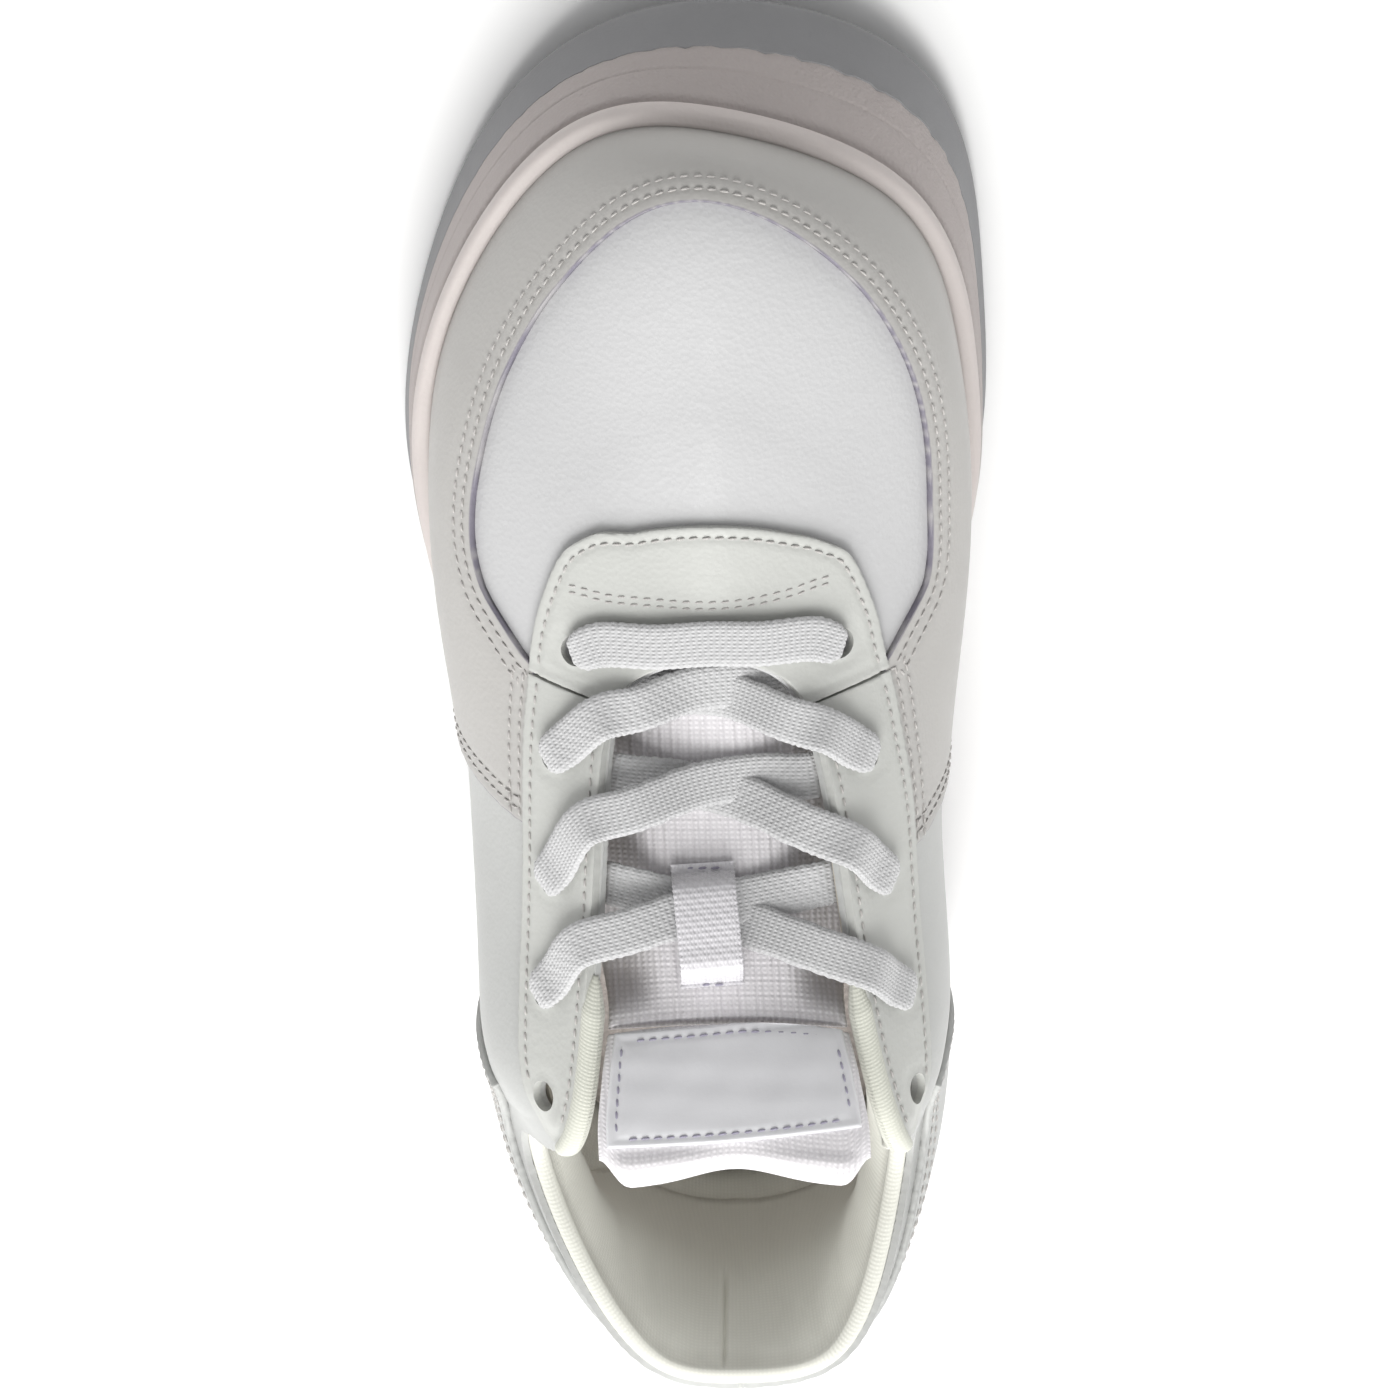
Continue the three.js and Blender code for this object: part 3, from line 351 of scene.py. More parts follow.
def spaced(length, fine):
    """Places from 0 to a length: the fine ones from each end, then even steps between."""
    edge = np.array(fine) * min(1, length / (2.2 * fine[-1]))
    steps = max(2, int((length - 2 * edge[-1]) / 1.3))
    middle = np.linspace(edge[-1], length - edge[-1], steps + 1)[1:-1]
    return np.concatenate([edge, middle, length - edge[::-1]])


PANEL_STEP = 0.03
PANEL_ENDS = np.array([0, 0.004, 0.012, 0.025])
FINE_EDGE = [0, 0.06, 0.16, 0.32, 0.6, 1.0, 1.5, 1.9, 2.4, 3.0, 3.6, 4.1, 4.7]
ROUND = 0.32
SEAM_DEPTH = 0.16
SEAM_WIDTH = 0.5
EDGE_BAND = 2.2


def rolled(distance, radius):
    """How far a cut edge's rounding drops the face at a distance from it."""
    t = np.clip(1 - distance / radius, 0, 1)
    return radius * (1 - np.sqrt(1 - t * t))


def polyline_distance(points, line):
    flat = points.reshape(-1, 3)
    best = np.full(len(flat), 1e9)
    for start in range(0, len(line), 64):
        part = line[start:start + 64]
        best = np.minimum(best, np.linalg.norm(flat[:, None] - part[None], axis=2).min(1))
    return best.reshape(points.shape[:-1])


def panel(name, material, span, low, high, layer, seams=(), dents=(), swell=None):
    """A leather or fabric panel on the surface, with rounded cut edges.

    seams name the edges ("low", "high", "start", "end") that carry stitched lines, with their
    distances from that edge; dents are further (line, depth, width) grooves; swell changes the
    outer and inner faces' distances from the surface.
    """
    columns = max(8, int((span[1] - span[0]) / PANEL_STEP))
    u = np.linspace(span[0], span[1], columns + 1)[1:-1]
    u = np.unique(np.concatenate([span[0] + PANEL_ENDS, u, span[1] - PANEL_ENDS]))
    bottom = low(u) if callable(low) else np.full_like(u, low)
    top = high(u) if callable(high) else np.full_like(u, high)
    rung = surface(u[:, None], mix(bottom[:, None], top[:, None], np.linspace(0, 1, 24)[None]))
    length = np.linalg.norm(np.diff(rung, axis=1), axis=2).sum(1)
    share = spaced(float(length.max()), FINE_EDGE) / length.max()
    uu = np.repeat(u[:, None], len(share), 1)
    vv = mix(bottom[:, None], top[:, None], share[None])
    place = surface(uu, vv)
    edges = {"low": (u, bottom), "high": (u, top)}
    rise = np.linspace(0, 1, 60)
    edges["start"] = (np.full(60, u[0]), mix(bottom[0], top[0], rise))
    edges["end"] = (np.full(60, u[-1]), mix(bottom[-1], top[-1], rise))
    lines = {key: dense(surface(*edge)) for key, edge in edges.items()}
    away = {key: polyline_distance(place, line) for key, line in lines.items()}
    nearest = np.minimum.reduce(list(away.values()))
    outer = layer[1] - rolled(nearest, ROUND)
    for edge, distances in seams:
        for distance in distances:
            outer = outer - SEAM_DEPTH * np.exp(-(((away[edge] - distance) / SEAM_WIDTH) ** 2))
    for line, depth, width in dents:
        outer = outer - depth * np.exp(-((polyline_distance(place, line) / width) ** 2))
    inner = np.full_like(outer, layer[0]) + 0.6 * rolled(nearest, ROUND)
    if swell is not None:
        outer, inner = swell(uu, outer, inner)
    n = normal(uu, vv)
    face = place + n * outer[..., None]
    back = place + n * inner[..., None]
    loop = np.concatenate([face, back[:, ::-1]], 1)
    rows, across = loop.shape[:2]
    faces = [tuple(f) for f in grid_faces(rows, across, wrap_columns=True)]
    half = len(share)
    for j in range(half - 1):
        k = across - 1 - j
        faces.append((j, j + 1, k - 1, k))
        last = (rows - 1) * across
        faces.append((last + j, last + k, last + k - 1, last + j + 1))
    run = run_length(rung[:, 12])
    climb = share[None] * length[:, None]
    uv = np.stack([np.repeat(run[:, None], half, 1), climb], -1)
    uv = np.concatenate([uv, uv[:, ::-1]], 1).reshape(-1, 2) * MM
    obj = add_object(name, loop.reshape(-1, 3), faces, material, uv=uv)
    both = np.concatenate([nearest, nearest[:, ::-1]], 1)
    mark(obj, "edge", np.clip(1 - both / EDGE_BAND, 0, 1))
    return obj, edges


def dense(line, gap=0.5):
    """The same polyline with its points no further apart than a gap."""
    length = run_length(line)
    at = np.linspace(0, length[-1], max(3, int(length[-1] / gap)))
    return np.stack([np.interp(at, length, line[:, k]) for k in range(3)], 1)


# ---- stitches --------------------------------------------------------------

CAPSULE_RINGS = [(-0.5, 0.0), (-0.44, 0.5), (-0.25, 0.95), (0.25, 0.95), (0.44, 0.5), (0.5, 0.0)]
CAPSULE_SIDES = 6


def stitch_row(line, normals):
    """Points and faces of one row of thread stitches lying along a polyline."""
    run = run_length(line)
    count = int((run[-1] - STITCH_LENGTH) / STITCH_PITCH)
    if count < 1:
        return np.zeros((0, 3)), []
    at = (run[-1] - (count - 1) * STITCH_PITCH) / 2 + np.arange(count) * STITCH_PITCH

    def read(values, where):
        return np.stack([np.interp(where, run, values[:, k]) for k in range(3)], 1)

    centre = read(line, at)
    along = unit(read(line, at + 0.6) - read(line, at - 0.6))
    up = unit(read(normals, at))
    side = np.cross(up, along)
    lean = unit(along + STITCH_LEAN * side)
    side = np.cross(up, lean)
    points = []
    for x, r in CAPSULE_RINGS:
        for k in range(CAPSULE_SIDES):
            a = 2 * math.pi * k / CAPSULE_SIDES
            sag = -STITCH_DIP * (2 * abs(x)) ** 2
            points.append(
                centre + lean * (x * STITCH_LENGTH) + side * (r * STITCH_WIDTH * 0.5 * math.cos(a))
                + up * (STITCH_RISE + sag + r * STITCH_WIDTH * 0.42 * math.sin(a))
            )
    points = np.stack(points, 1)
    n = CAPSULE_SIDES
    base = []
    for ring in range(len(CAPSULE_RINGS) - 1):
        for k in range(n):
            a, b = ring * n + k, ring * n + (k + 1) % n
            base.append((a, b, b + n, a + n))
    per = points.shape[1]
    faces = (np.array(base)[None] + per * np.arange(count)[:, None, None]).reshape(-1, 4)
    return points.reshape(-1, 3), faces


def stitching(name, rows, material, body=SHOE):
    """One piece made of several rows of stitches; rows hold (line, normals)."""
    points, faces, start = [], [], 0
    for row in rows:
        some, quads = stitch_row(*row)
        if len(some):
            points.append(some)
            faces.append(np.asarray(quads) + start)
            start += len(some)
    return add_object(name, np.concatenate(points), np.concatenate(faces), material, body)


# ---- materials -------------------------------------------------------------

class Look:
    """A small helper that builds one procedural material."""

    def __init__(self, name, roughness=0.5, specular=0.4, sheen=0.0, coat=0.0):
        self.material = bpy.data.materials.new(name)
        self.material.use_nodes = True
        self.tree = self.material.node_tree
        self.shader = self.tree.nodes["Principled BSDF"]
        settings = {"Roughness": roughness, "Specular IOR Level": specular,
                    "Sheen Weight": sheen, "Coat Weight": coat}
        for socket, value in settings.items():
            self.shader.inputs[socket].default_value = value
        self.height = None

    def node(self, kind, **settings):
        made = self.tree.nodes.new(kind)
        for key, value in settings.items():
            setattr(made, key, value)
        return made

    def link(self, a, b):
        self.tree.links.new(a, b)

    def place(self, uv=False):
        if uv:
            return self.node("ShaderNodeUVMap", uv_map="run").outputs["UV"]
        return self.node("ShaderNodeTexCoord").outputs["Object"]

    def noise(self, scale, detail=2.0, uv=False, distortion=0.0):
        made = self.node("ShaderNodeTexNoise")
        made.inputs["Scale"].default_value = scale
        made.inputs["Detail"].default_value = detail
        made.inputs["Distortion"].default_value = distortion
        self.link(self.place(uv), made.inputs["Vector"])
        return made.outputs["Fac"]

    def cells(self, scale):
        made = self.node("ShaderNodeTexVoronoi", feature="F1")
        made.inputs["Scale"].default_value = scale
        self.link(self.place(), made.inputs["Vector"])
        return made.outputs["Distance"]

    def wave(self, pitch, direction="X", uv=True, distortion=0.0):
        made = self.node("ShaderNodeTexWave", bands_direction=direction)
        made.inputs["Scale"].default_value = math.pi / (10 * pitch * MM)
        made.inputs["Distortion"].default_value = distortion
        self.link(self.place(uv), made.inputs["Vector"])
        return made.outputs["Fac"]

    def math(self, operation, a, b):
        made = self.node("ShaderNodeMath", operation=operation)
        for socket, value in zip(made.inputs, (a, b)):
            if isinstance(value, (int, float)):
                socket.default_value = value
            else:
                self.link(value, socket)
        return made.outputs[0]

    def ramp(self, value, stops):
        made = self.node("ShaderNodeValToRGB")
        elements = made.color_ramp.elements
        while len(elements) < len(stops):
            elements.new(0.5)
        for element, (at, colour) in zip(elements, stops):
            element.position = at
            element.color = (*colour, 1)
        self.link(value, made.inputs["Fac"])
        return made.outputs["Color"]

    def mottle(self, value, colour, darkest, low=0.3, high=0.7):
        """Fades from a darker shade of a colour to the colour itself."""
        return self.ramp(value, [(low, shade(colour, darkest)), (high, colour)])

    def blend(self, amount, a, b):
        made = self.node("ShaderNodeMix", data_type="RGBA")
        for socket, value in zip((made.inputs[0], made.inputs[6], made.inputs[7]), (amount, a, b)):
            if isinstance(value, (int, float)):
                socket.default_value = value
            elif isinstance(value, tuple):
                socket.default_value = (*value, 1)
            else:
                self.link(value, socket)
        return made.outputs[2]

    def multiply(self, a, b):
        made = self.node("ShaderNodeMix", data_type="RGBA", blend_type="MULTIPLY")
        made.inputs[0].default_value = 1.0
        self.link(a, made.inputs[6])
        self.link(b, made.inputs[7])
        return made.outputs[2]

    def attribute(self, name):
        return self.node("ShaderNodeAttribute", attribute_name=name).outputs["Fac"]

    def colour(self, socket):
        self.link(socket, self.shader.inputs["Base Color"])

    def rough(self, value, low, high):
        made = self.node("ShaderNodeMapRange")
        made.inputs["To Min"].default_value = low
        made.inputs["To Max"].default_value = high
        self.link(value, made.inputs["Value"])
        self.link(made.outputs["Result"], self.shader.inputs["Roughness"])

    def bump(self, value, depth, strength=1.0):
        made = self.node("ShaderNodeBump")
        made.inputs["Strength"].default_value = strength
        made.inputs["Distance"].default_value = depth * MM
        self.link(value, made.inputs["Height"])
        if self.height is not None:
            self.link(self.height, made.inputs["Normal"])
        self.height = made.outputs["Normal"]
        self.link(self.height, self.shader.inputs["Normal"])


def linear(*srgb):
    """A colour given in the usual 0 to 255 steps, as the shader's linear values."""
    return tuple(((c / 255 + 0.055) / 1.055) ** 2.4 if c > 10 else c / 255 / 12.92 for c in srgb)


def shade(colour, factor):
    return tuple(c * factor for c in colour)


# Dark lavender-grey for the mudguard's cut edge: partly the raw edge's own tone, partly painted shade of
# the step where the raised mudguard stands over the vamp.
CUT_EDGE_AND_SHADE = linear(126, 122, 134)


def leather(name, colour, cut_edge_and_shade_colour=None):
    """Grained leather, worn in broad patches, soiled near its edges and bare where cut; a darker cut
    colour, where one is given, also paints the shade along a raised edge.
    """
    look = Look(name, specular=0.42, coat=0.06)
    worn = look.mottle(look.noise(28, 3), colour, 0.955)
    dirt = look.math("MULTIPLY", look.attribute("edge"), look.noise(420, 3))
    handled = look.blend(look.math("MULTIPLY", dirt, 0.3), worn, shade(colour, 0.85))
    # A narrow band at the cut edge takes the cut colour: the raw edge's tone, and for the mudguard also
    # painted shade along its raised edge.
    cut = look.ramp(look.attribute("edge"), [(0.84, (0, 0, 0)), (0.96, (1, 1, 1))])
    look.colour(look.blend(cut, handled, cut_edge_and_shade_colour or shade(colour, 0.86)))
    look.rough(look.noise(160, 3), 0.46, 0.6)
    look.bump(look.cells(1250), 0.05, 0.75)
    look.bump(look.noise(420, 4), 0.1, 0.6)
    look.bump(look.noise(60, 2), 0.22, 0.35)
    return look.material


def thread(name, colour):
    look = Look(name, roughness=0.7, sheen=0.2)
    look.colour(look.mottle(look.noise(900, 2), colour, 0.82, high=0.75))
    look.bump(look.wave(0.35, "DIAGONAL", uv=False), 0.05, 0.7)
    return look.material


def rubber(name, colour, stipple, roughness=(0.5, 0.68)):
    """Moulded rubber with a fine stipple and a few scuffs."""
    look = Look(name, specular=0.35)
    patch = look.mottle(look.noise(45, 4), colour, 0.93)
    scuffs = look.ramp(look.noise(700, 3, distortion=0.4), [(0.62, (0, 0, 0)), (0.8, (1, 1, 1))])
    look.colour(look.blend(look.math("MULTIPLY", scuffs, 0.25), patch, shade(colour, 0.8)))
    look.rough(look.noise(220, 3), *roughness)
    look.bump(look.cells(1500), 0.09 * stipple, 0.8)
    look.bump(look.noise(2400, 2), 0.05 * stipple, 0.8)
    return look.material


def knit(name, colour, rib, course, depth, contrast):
    """Knitted fabric: ribs along the piece and courses across them, both in millimetres."""
    look = Look(name, roughness=0.88, specular=0.2, sheen=0.2)
    ribs = look.wave(rib, "X")
    loops = look.math("MULTIPLY", ribs, look.wave(course, "Y", distortion=0.4))
    fuzz = look.noise(1500, 2, uv=True)
    tone = look.ramp(look.math("ADD", loops, look.math("MULTIPLY", fuzz, 0.35)),
                     [(0.05, shade(colour, 1 - contrast)), (0.5, shade(colour, 0.97)), (0.95, colour)])
    worn = look.mottle(look.noise(30, 3), (1, 1, 1), 0.93)
    look.colour(look.multiply(tone, worn))
    look.bump(ribs, depth, 0.8)
    look.bump(loops, depth, 0.8)
    look.bump(fuzz, 0.05, 0.6)
    return look.material


def woven_lace(name, colour):
    look = Look(name, roughness=0.82, specular=0.2, sheen=0.3)
    warp = look.wave(0.62, "X")
    weft = look.wave(0.9, "Y", distortion=0.3)
    twill = look.wave(1.0, "DIAGONAL")
    weave = look.math("ADD", look.math("MULTIPLY", warp, weft), look.math("MULTIPLY", twill, 0.35))
    tone = look.ramp(look.math("ADD", weave, look.math("MULTIPLY", look.noise(900, 3), 0.3)),
                     [(0.1, shade(colour, 0.86)), (0.6, shade(colour, 0.97)), (1.0, colour)])
    look.colour(tone)
    look.bump(weave, 0.16, 0.8)
    look.bump(look.noise(1800, 2), 0.05, 0.5)
    return look.material


def felted(name, colour):
    look = Look(name, roughness=0.95, specular=0.15, sheen=0.35)
    look.colour(look.ramp(look.noise(650, 5), [(0.25, shade(colour, 0.6)), (0.75, shade(colour, 1.25))]))
    look.bump(look.noise(900, 4), 0.25, 0.8)
    look.bump(look.cells(1700), 0.12, 0.6)
    return look.material


def plastic(name, colour, roughness, coat=0.0):
    look = Look(name, specular=0.45, coat=coat)
    look.colour(look.mottle(look.noise(120, 3), colour, 0.95))
    look.rough(look.noise(500, 3), roughness * 0.85, roughness * 1.15)
    look.bump(look.noise(1300, 2), 0.03, 0.6)
    return look.material


WHITE = leather("vamp_leather", linear(201, 201, 202))
STAY = leather("eyestay_leather", linear(198, 199, 195))
SIDE = leather("quarter_leather", linear(190, 191, 189))
# The mudguard's cut edge takes the darker colour above: raw edge tone and painted shade along its raised
# edge.
GUARD = leather("mudguard_leather", linear(187, 185, 182), CUT_EDGE_AND_SHADE)
THREAD = thread("white_thread", linear(194, 191, 188))
LABEL_THREAD = thread("lavender_thread", linear(166, 162, 180))
CUP = rubber("cup_rubber", linear(210, 202, 199), 0.55)
BAND = rubber("sidewall_rubber", linear(184, 176, 174), 1.5, (0.6, 0.8))
GREY = rubber("grey_rubber", linear(141, 141, 143), 0.4, (0.5, 0.65))
TREAD = rubber("tread_rubber", linear(150, 150, 151), 0.8, (0.6, 0.8))
MESH = knit("tongue_mesh", linear(244, 241, 244), 0.95, 0.8, 0.08, 0.16)
LINING = knit("lining_mesh", linear(234, 234, 225), 0.7, 0.6, 0.02, 0.06)
BINDING = knit("binding_tape", linear(216, 217, 206), 0.6, 0.7, 0.03, 0.08)
SOCK = felted("sockliner_felt", linear(188, 180, 176))
LABEL = plastic("label_film", linear(230, 230, 233), 0.42, 0.1)
LACE = woven_lace("lace_weave", linear(201, 201, 202))
KEEPER_TAPE = woven_lace("keeper_weave", linear(230, 228, 232))
AGLET = plastic("aglet_film", linear(224, 224, 230), 0.2, 0.4)
STIFF = plastic("stiffener_sheet", linear(196, 190, 178), 0.6)
FOAM = felted("foam_cells", linear(214, 208, 194))
BOARD = felted("board_fibre", linear(170, 150, 120))

# ---- sole ------------------------------------------------------------------

AROUND = 480
U_RING = np.arange(AROUND) * COUNT / AROUND


def stands_for(obj, slot, *nodes):
    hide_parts(*nodes)


def bumper_top(y):
    """Top of the grey rim, which climbs round the toe."""
    return sole_base(y) + mix(BUMPER_SIDE, BUMPER_TOE, smoothstep(y, 30, 100))


def ragged(lift=0.0):
    """How far in the grey rim's top edge lies, as a wall share: it is scalloped at the toe."""
    waves = np.abs(np.sin(U_RING * 17)) + 0.5 * np.abs(np.sin(U_RING * 41 + 1))
    toe = smoothstep(read_track(OUTLINE, U_RING)[:, 1], 55, 85)
    return (0.39 + lift - 0.045 * (waves - 0.8) * toe)[:, None]


def rim_top():
    return surface(U_RING, RISE[1])[..., 2] + 0.4


def wall_ring(share, extra, height):
    """A ring of the sole's wall: share runs from its outline (0) to the lip's outer face (1),
    and extra is a further distance in toward the foot."""
    points = read_track(OUTLINE, U_RING)
    foot = offset(U_RING, RISE[1] * np.ones(AROUND), np.full(AROUND, OVERLAY_TOP + CUP_GAP))
    across = foot - points
    across[:, 2] = 0
    leaning = np.linalg.norm(across, axis=1, keepdims=True) - LIP_WIDTH
    height = height(points[:, 1])
    points = points + unit(across) * (share * leaning + extra)
    points[:, 2] = height
    return points


def above_base(lift):
    return lambda y: sole_base(y) + lift


def bumper(lift=0.0):
    return lambda y: bumper_top(y) + lift


def below_rim(drop):
    return lambda y: rim_top() - drop


def side_band(rise):
    """Heights up the sidewall, from the grey rim (0) to the groove under the lip (1)."""
    return lambda y: mix(bumper_top(y) + 0.2, rim_top() - 4.2, rise)


def chaikin(rings, times):
    """Rounds a closed section by cutting its corners; a ring given twice stays sharper."""
    rings = np.stack(rings)
    for _ in range(times):
        after = np.roll(rings, -1, 0)
        cut = np.stack([mix(rings, after, 0.25), mix(rings, after, 0.75)], 1)
        rings = cut.reshape(-1, *rings.shape[1:])
    return rings


def section(*corners):
    """A rounded section of the sole's wall from its corners: share, extra and height."""
    return chaikin([wall_ring(*corner) for corner in corners], 2)


def ring_piece(name, rings, material):
    """A closed loop of section rings swept right round the sole."""
    count = len(rings)
    points = rings.reshape(-1, 3)
    faces = grid_faces(count, AROUND, wrap_rows=True, wrap_columns=True)
    run = run_length(rings[:, 0])
    around = np.arange(AROUND) * 560 / AROUND
    uv = np.stack([np.tile(around, count), np.repeat(run, AROUND)], 1) * MM
    return add_object(name, points, faces[:, ::-1], material, uv=uv)


def build_outsole():
    rim = ring_piece("outsole_rim", section(
        (0, 4.2, above_base(0)), (0, 4.2, above_base(0)), (0, 0.7, above_base(0.05)),
        (0, 0.15, above_base(1)), (0, 0, above_base(3.2)), (0.33, 0.05, bumper(-1.6)),
        (ragged(), 0.2, bumper()), (ragged(), 0.2, bumper()), (ragged(0.01), 2.4, bumper()),
        (0.4, 2.6, above_base(OUTSOLE_THICK)),
    ), GREY)
    stands_for(rim, "grey_rubber", "outsole")
    tread = build_tread()


TREAD_STEP = 0.6
TREAD_INSET = 4.4
TREAD_DEPTH = 1.7
CHEVRON = 13
CHEVRON_REACH = 4.2
BAR_PITCH = 5.6
WAIST_PITCH = 9
WAIST_DEPTH = 0.9
WAIST_RELIEF = 0.7
RIM_COVER = 2.6


def tread_height(x, y):
    """Depth of the tread's grooves: zigzag bars fore and aft, a shallower waist between."""
    zigzag = np.abs((x / CHEVRON) % 2 - 1) * CHEVRON_REACH
    phase = ((y + zigzag) / BAR_PITCH) % 1
    groove = 1 - smoothstep(np.abs(phase - 0.5), 0.17, 0.27)
    waist = smoothstep(y, -42, -34) * (1 - smoothstep(y, 2, 10))
    phase = ((y - 0.35 * x) / WAIST_PITCH) % 1
    rib = 1 - smoothstep(np.abs(phase - 0.5), 0.07, 0.12)
    return mix(groove * TREAD_DEPTH, WAIST_DEPTH - WAIST_RELIEF * (1 - rib), waist)


def inside_distance(points, ring):
    """Distance inward from a closed flat outline, negative outside it."""
    nearest = np.full(len(points), 1e9)
    inside = np.zeros(len(points), bool)
    a, b = ring, np.roll(ring, -1, 0)
    for start, end in zip(a, b):
        run = end - start
        t = np.clip(((points - start) @ run) / (run @ run), 0, 1)
        nearest = np.minimum(nearest, np.linalg.norm(points - start - t[:, None] * run, axis=1))
        crosses = (start[1] > points[:, 1]) != (end[1] > points[:, 1])
        if abs(run[1]) > 1e-9:
            inside ^= crosses & (points[:, 0] < start[0] + (points[:, 1] - start[1]) * run[0] / run[1])
    return np.where(inside, nearest, -nearest)


def build_tread():
    ring = read_track(OUTLINE, U_RING[::4])[:, :2]
    low, high = ring.min(0), ring.max(0)
    xs = np.arange(low[0], high[0], TREAD_STEP)
    ys = np.arange(low[1], high[1], TREAD_STEP)
    x, y = (a.ravel() for a in np.meshgrid(xs, ys, indexing="ij"))
    depth = inside_distance(np.stack([x, y], 1), ring)
    keep = (depth > RIM_COVER).reshape(len(xs), len(ys))
    groove = tread_height(x, y)
    border = 1 - smoothstep(depth, TREAD_INSET + 0.3, TREAD_INSET + 0.9)
    groove = np.maximum(groove, border * TREAD_DEPTH)
    z = sole_base(y) + 0.02 + groove
    points = np.stack([x, y, z], 1)
    top = np.stack([x, y, sole_base(y) + OUTSOLE_THICK], 1)
    i, j = np.nonzero(keep[:-1, :-1] & keep[1:, :-1] & keep[:-1, 1:] & keep[1:, 1:])
    n = len(ys)
    quads = np.stack([i * n + j, i * n + j + 1, (i + 1) * n + j + 1, (i + 1) * n + j], 1)
    used, faces = np.unique(quads, return_inverse=True)
    return closed_sheet("outsole_tread", points[used], top[used], faces.reshape(-1, 4), TREAD)


def closed_sheet(name, low, high, quads, material):
    """A slab between two copies of one sheet of quads, walled along its border."""
    count = len(low)
    edges = {}
    for quad in quads.tolist():
        for a, b in zip(quad, quad[1:] + quad[:1]):
            edges[(a, b)] = True
    walls = [(b, a, a + count, b + count) for a, b in edges if (b, a) not in edges]
    faces = np.concatenate([quads, quads[:, ::-1] + count, np.array(walls)])
    points = np.concatenate([low, high])
    uv = points[:, :2] * MM
    return add_object(name, points, faces, material, uv=uv)


def build_cup():
    wall = ring_piece("cup_sidewall", section(
        (0.4, 3.1, above_base(OUTSOLE_THICK + 0.4)), (0.4, 2.6, bumper(0.02)),
        (ragged(0.02), 0.22, bumper(0.02)), (ragged(0.02), 0.22, bumper(0.02)),
        (0.46, 0.2, side_band(0.1)), (0.6, 0.12, side_band(0.36)), (0.62, 0.1, side_band(0.4)),
        (0.64, 0.32, side_band(0.43)), (0.665, 0.14, side_band(0.47)),
        (0.7, 0.1, side_band(0.55)), (0.93, 0, side_band(0.94)), (0.97, 0.1, side_band(1)),
        (0.98, 0.75, below_rim(3.7)), (0.98, 1.2, below_rim(3.3)), (1, 2.2, below_rim(3.3)),
        (1, 2.2, above_base(OUTSOLE_THICK + 3)),
    ), BAND)
    stands_for(wall, "sole_rubber", "cupsole")
    lip = ring_piece("cup_lip", section(
        (1, 2.3, below_rim(3.9)), (1, 1.1, below_rim(3.6)), (1, 0.5, below_rim(3.1)),
        (1, 0.3, below_rim(2.3)), (1, 0.4, below_rim(1.3)), (1, 0.8, below_rim(0.4)),
        (1, 1.4, below_rim(0)), (1, 2.1, below_rim(-0.1)), (1, 2.9, below_rim(-0.25)),
        (1, 3.7, below_rim(0.2)), (1, 3.6, below_rim(2.4)),
    ), CUP)


# ---- upper -----------------------------------------------------------------

def eyestay_edge(u):
    return table(EYESTAY_EDGE, u)


def mudguard_top(u):
    free = np.where((u > 7.08) & (u < 12.94), table(VAMP_LINE, u), 1)
    return np.minimum(free, eyestay_edge(u) + 0.012)


def foxing_top(u):
    back = np.abs(u - COUNT)
    front = table([(2.2, 0.9), (2.9, 0.86), (3.3, 0.8), (3.5, 0.74)], back)
    return table([(0.34, 0.6), (0.66, 0.88), (1.4, 0.9)], back) * front / 0.9


def padding_low(u):
    return table([(0, 0.21), (1, 0.24), (1.8, 0.45), (2.6, 0.62), (4, 0.68)], np.abs(u - COUNT))


TAB_ARC = [(12.3, 0.756), (11.95, 0.849), (10.3, 0.92), (8.4, 0.866), (7.9, 0.782)]

# Inner and outer faces of each layer, as distances from the shaping surface. The overlays are
# thinner here than their solids.
BASE = (-1.2, 0.0)
LOW_OVERLAY = (-0.1, 1.2)
HIGH_OVERLAY = (-0.1, 1.6)
HEEL_TAB_LAYER = (0.3, 1.6)
STAY_TOP = 0.995
SEAM = 0.012
HOLE_SIDES = 28
HOLE_REACH = 6
FRONT_EYELETS = EYELETS_MEDIAL[:1] + EYELETS_LATERAL[:1]

# Each seam's distances from its panel's edge, one for each row of stitches.
COLLAR_SEAM = (5.2,)
GUARD_SEAMS = (1.9, 4.1)
FOXING_SEAMS = (1.8, 3.8)
END_SEAMS = (1.8, 3.6)
STAY_SEAM = (1.7,)
TAB_SEAM = (1.6,)


def thin_rear(u):
    """The eyestays are skived thin where the collar takes over."""
    return mix(0.35, 1.0, smoothstep(np.abs(u - 10), 6.0, 5.75))


def circle_on(u, v, radius):
    """A circle lying square to the surface's normal, its first point given again at the end."""
    centre, n = surface(u, v), normal(u, v)
    side = unit(np.cross([0, 0, 1], n))
    up = np.cross(n, side)
    angle = np.arange(HOLE_SIDES + 1) * 2 * math.pi / HOLE_SIDES
    return centre + radius * (np.cos(angle)[:, None] * side + np.sin(angle)[:, None] * up)


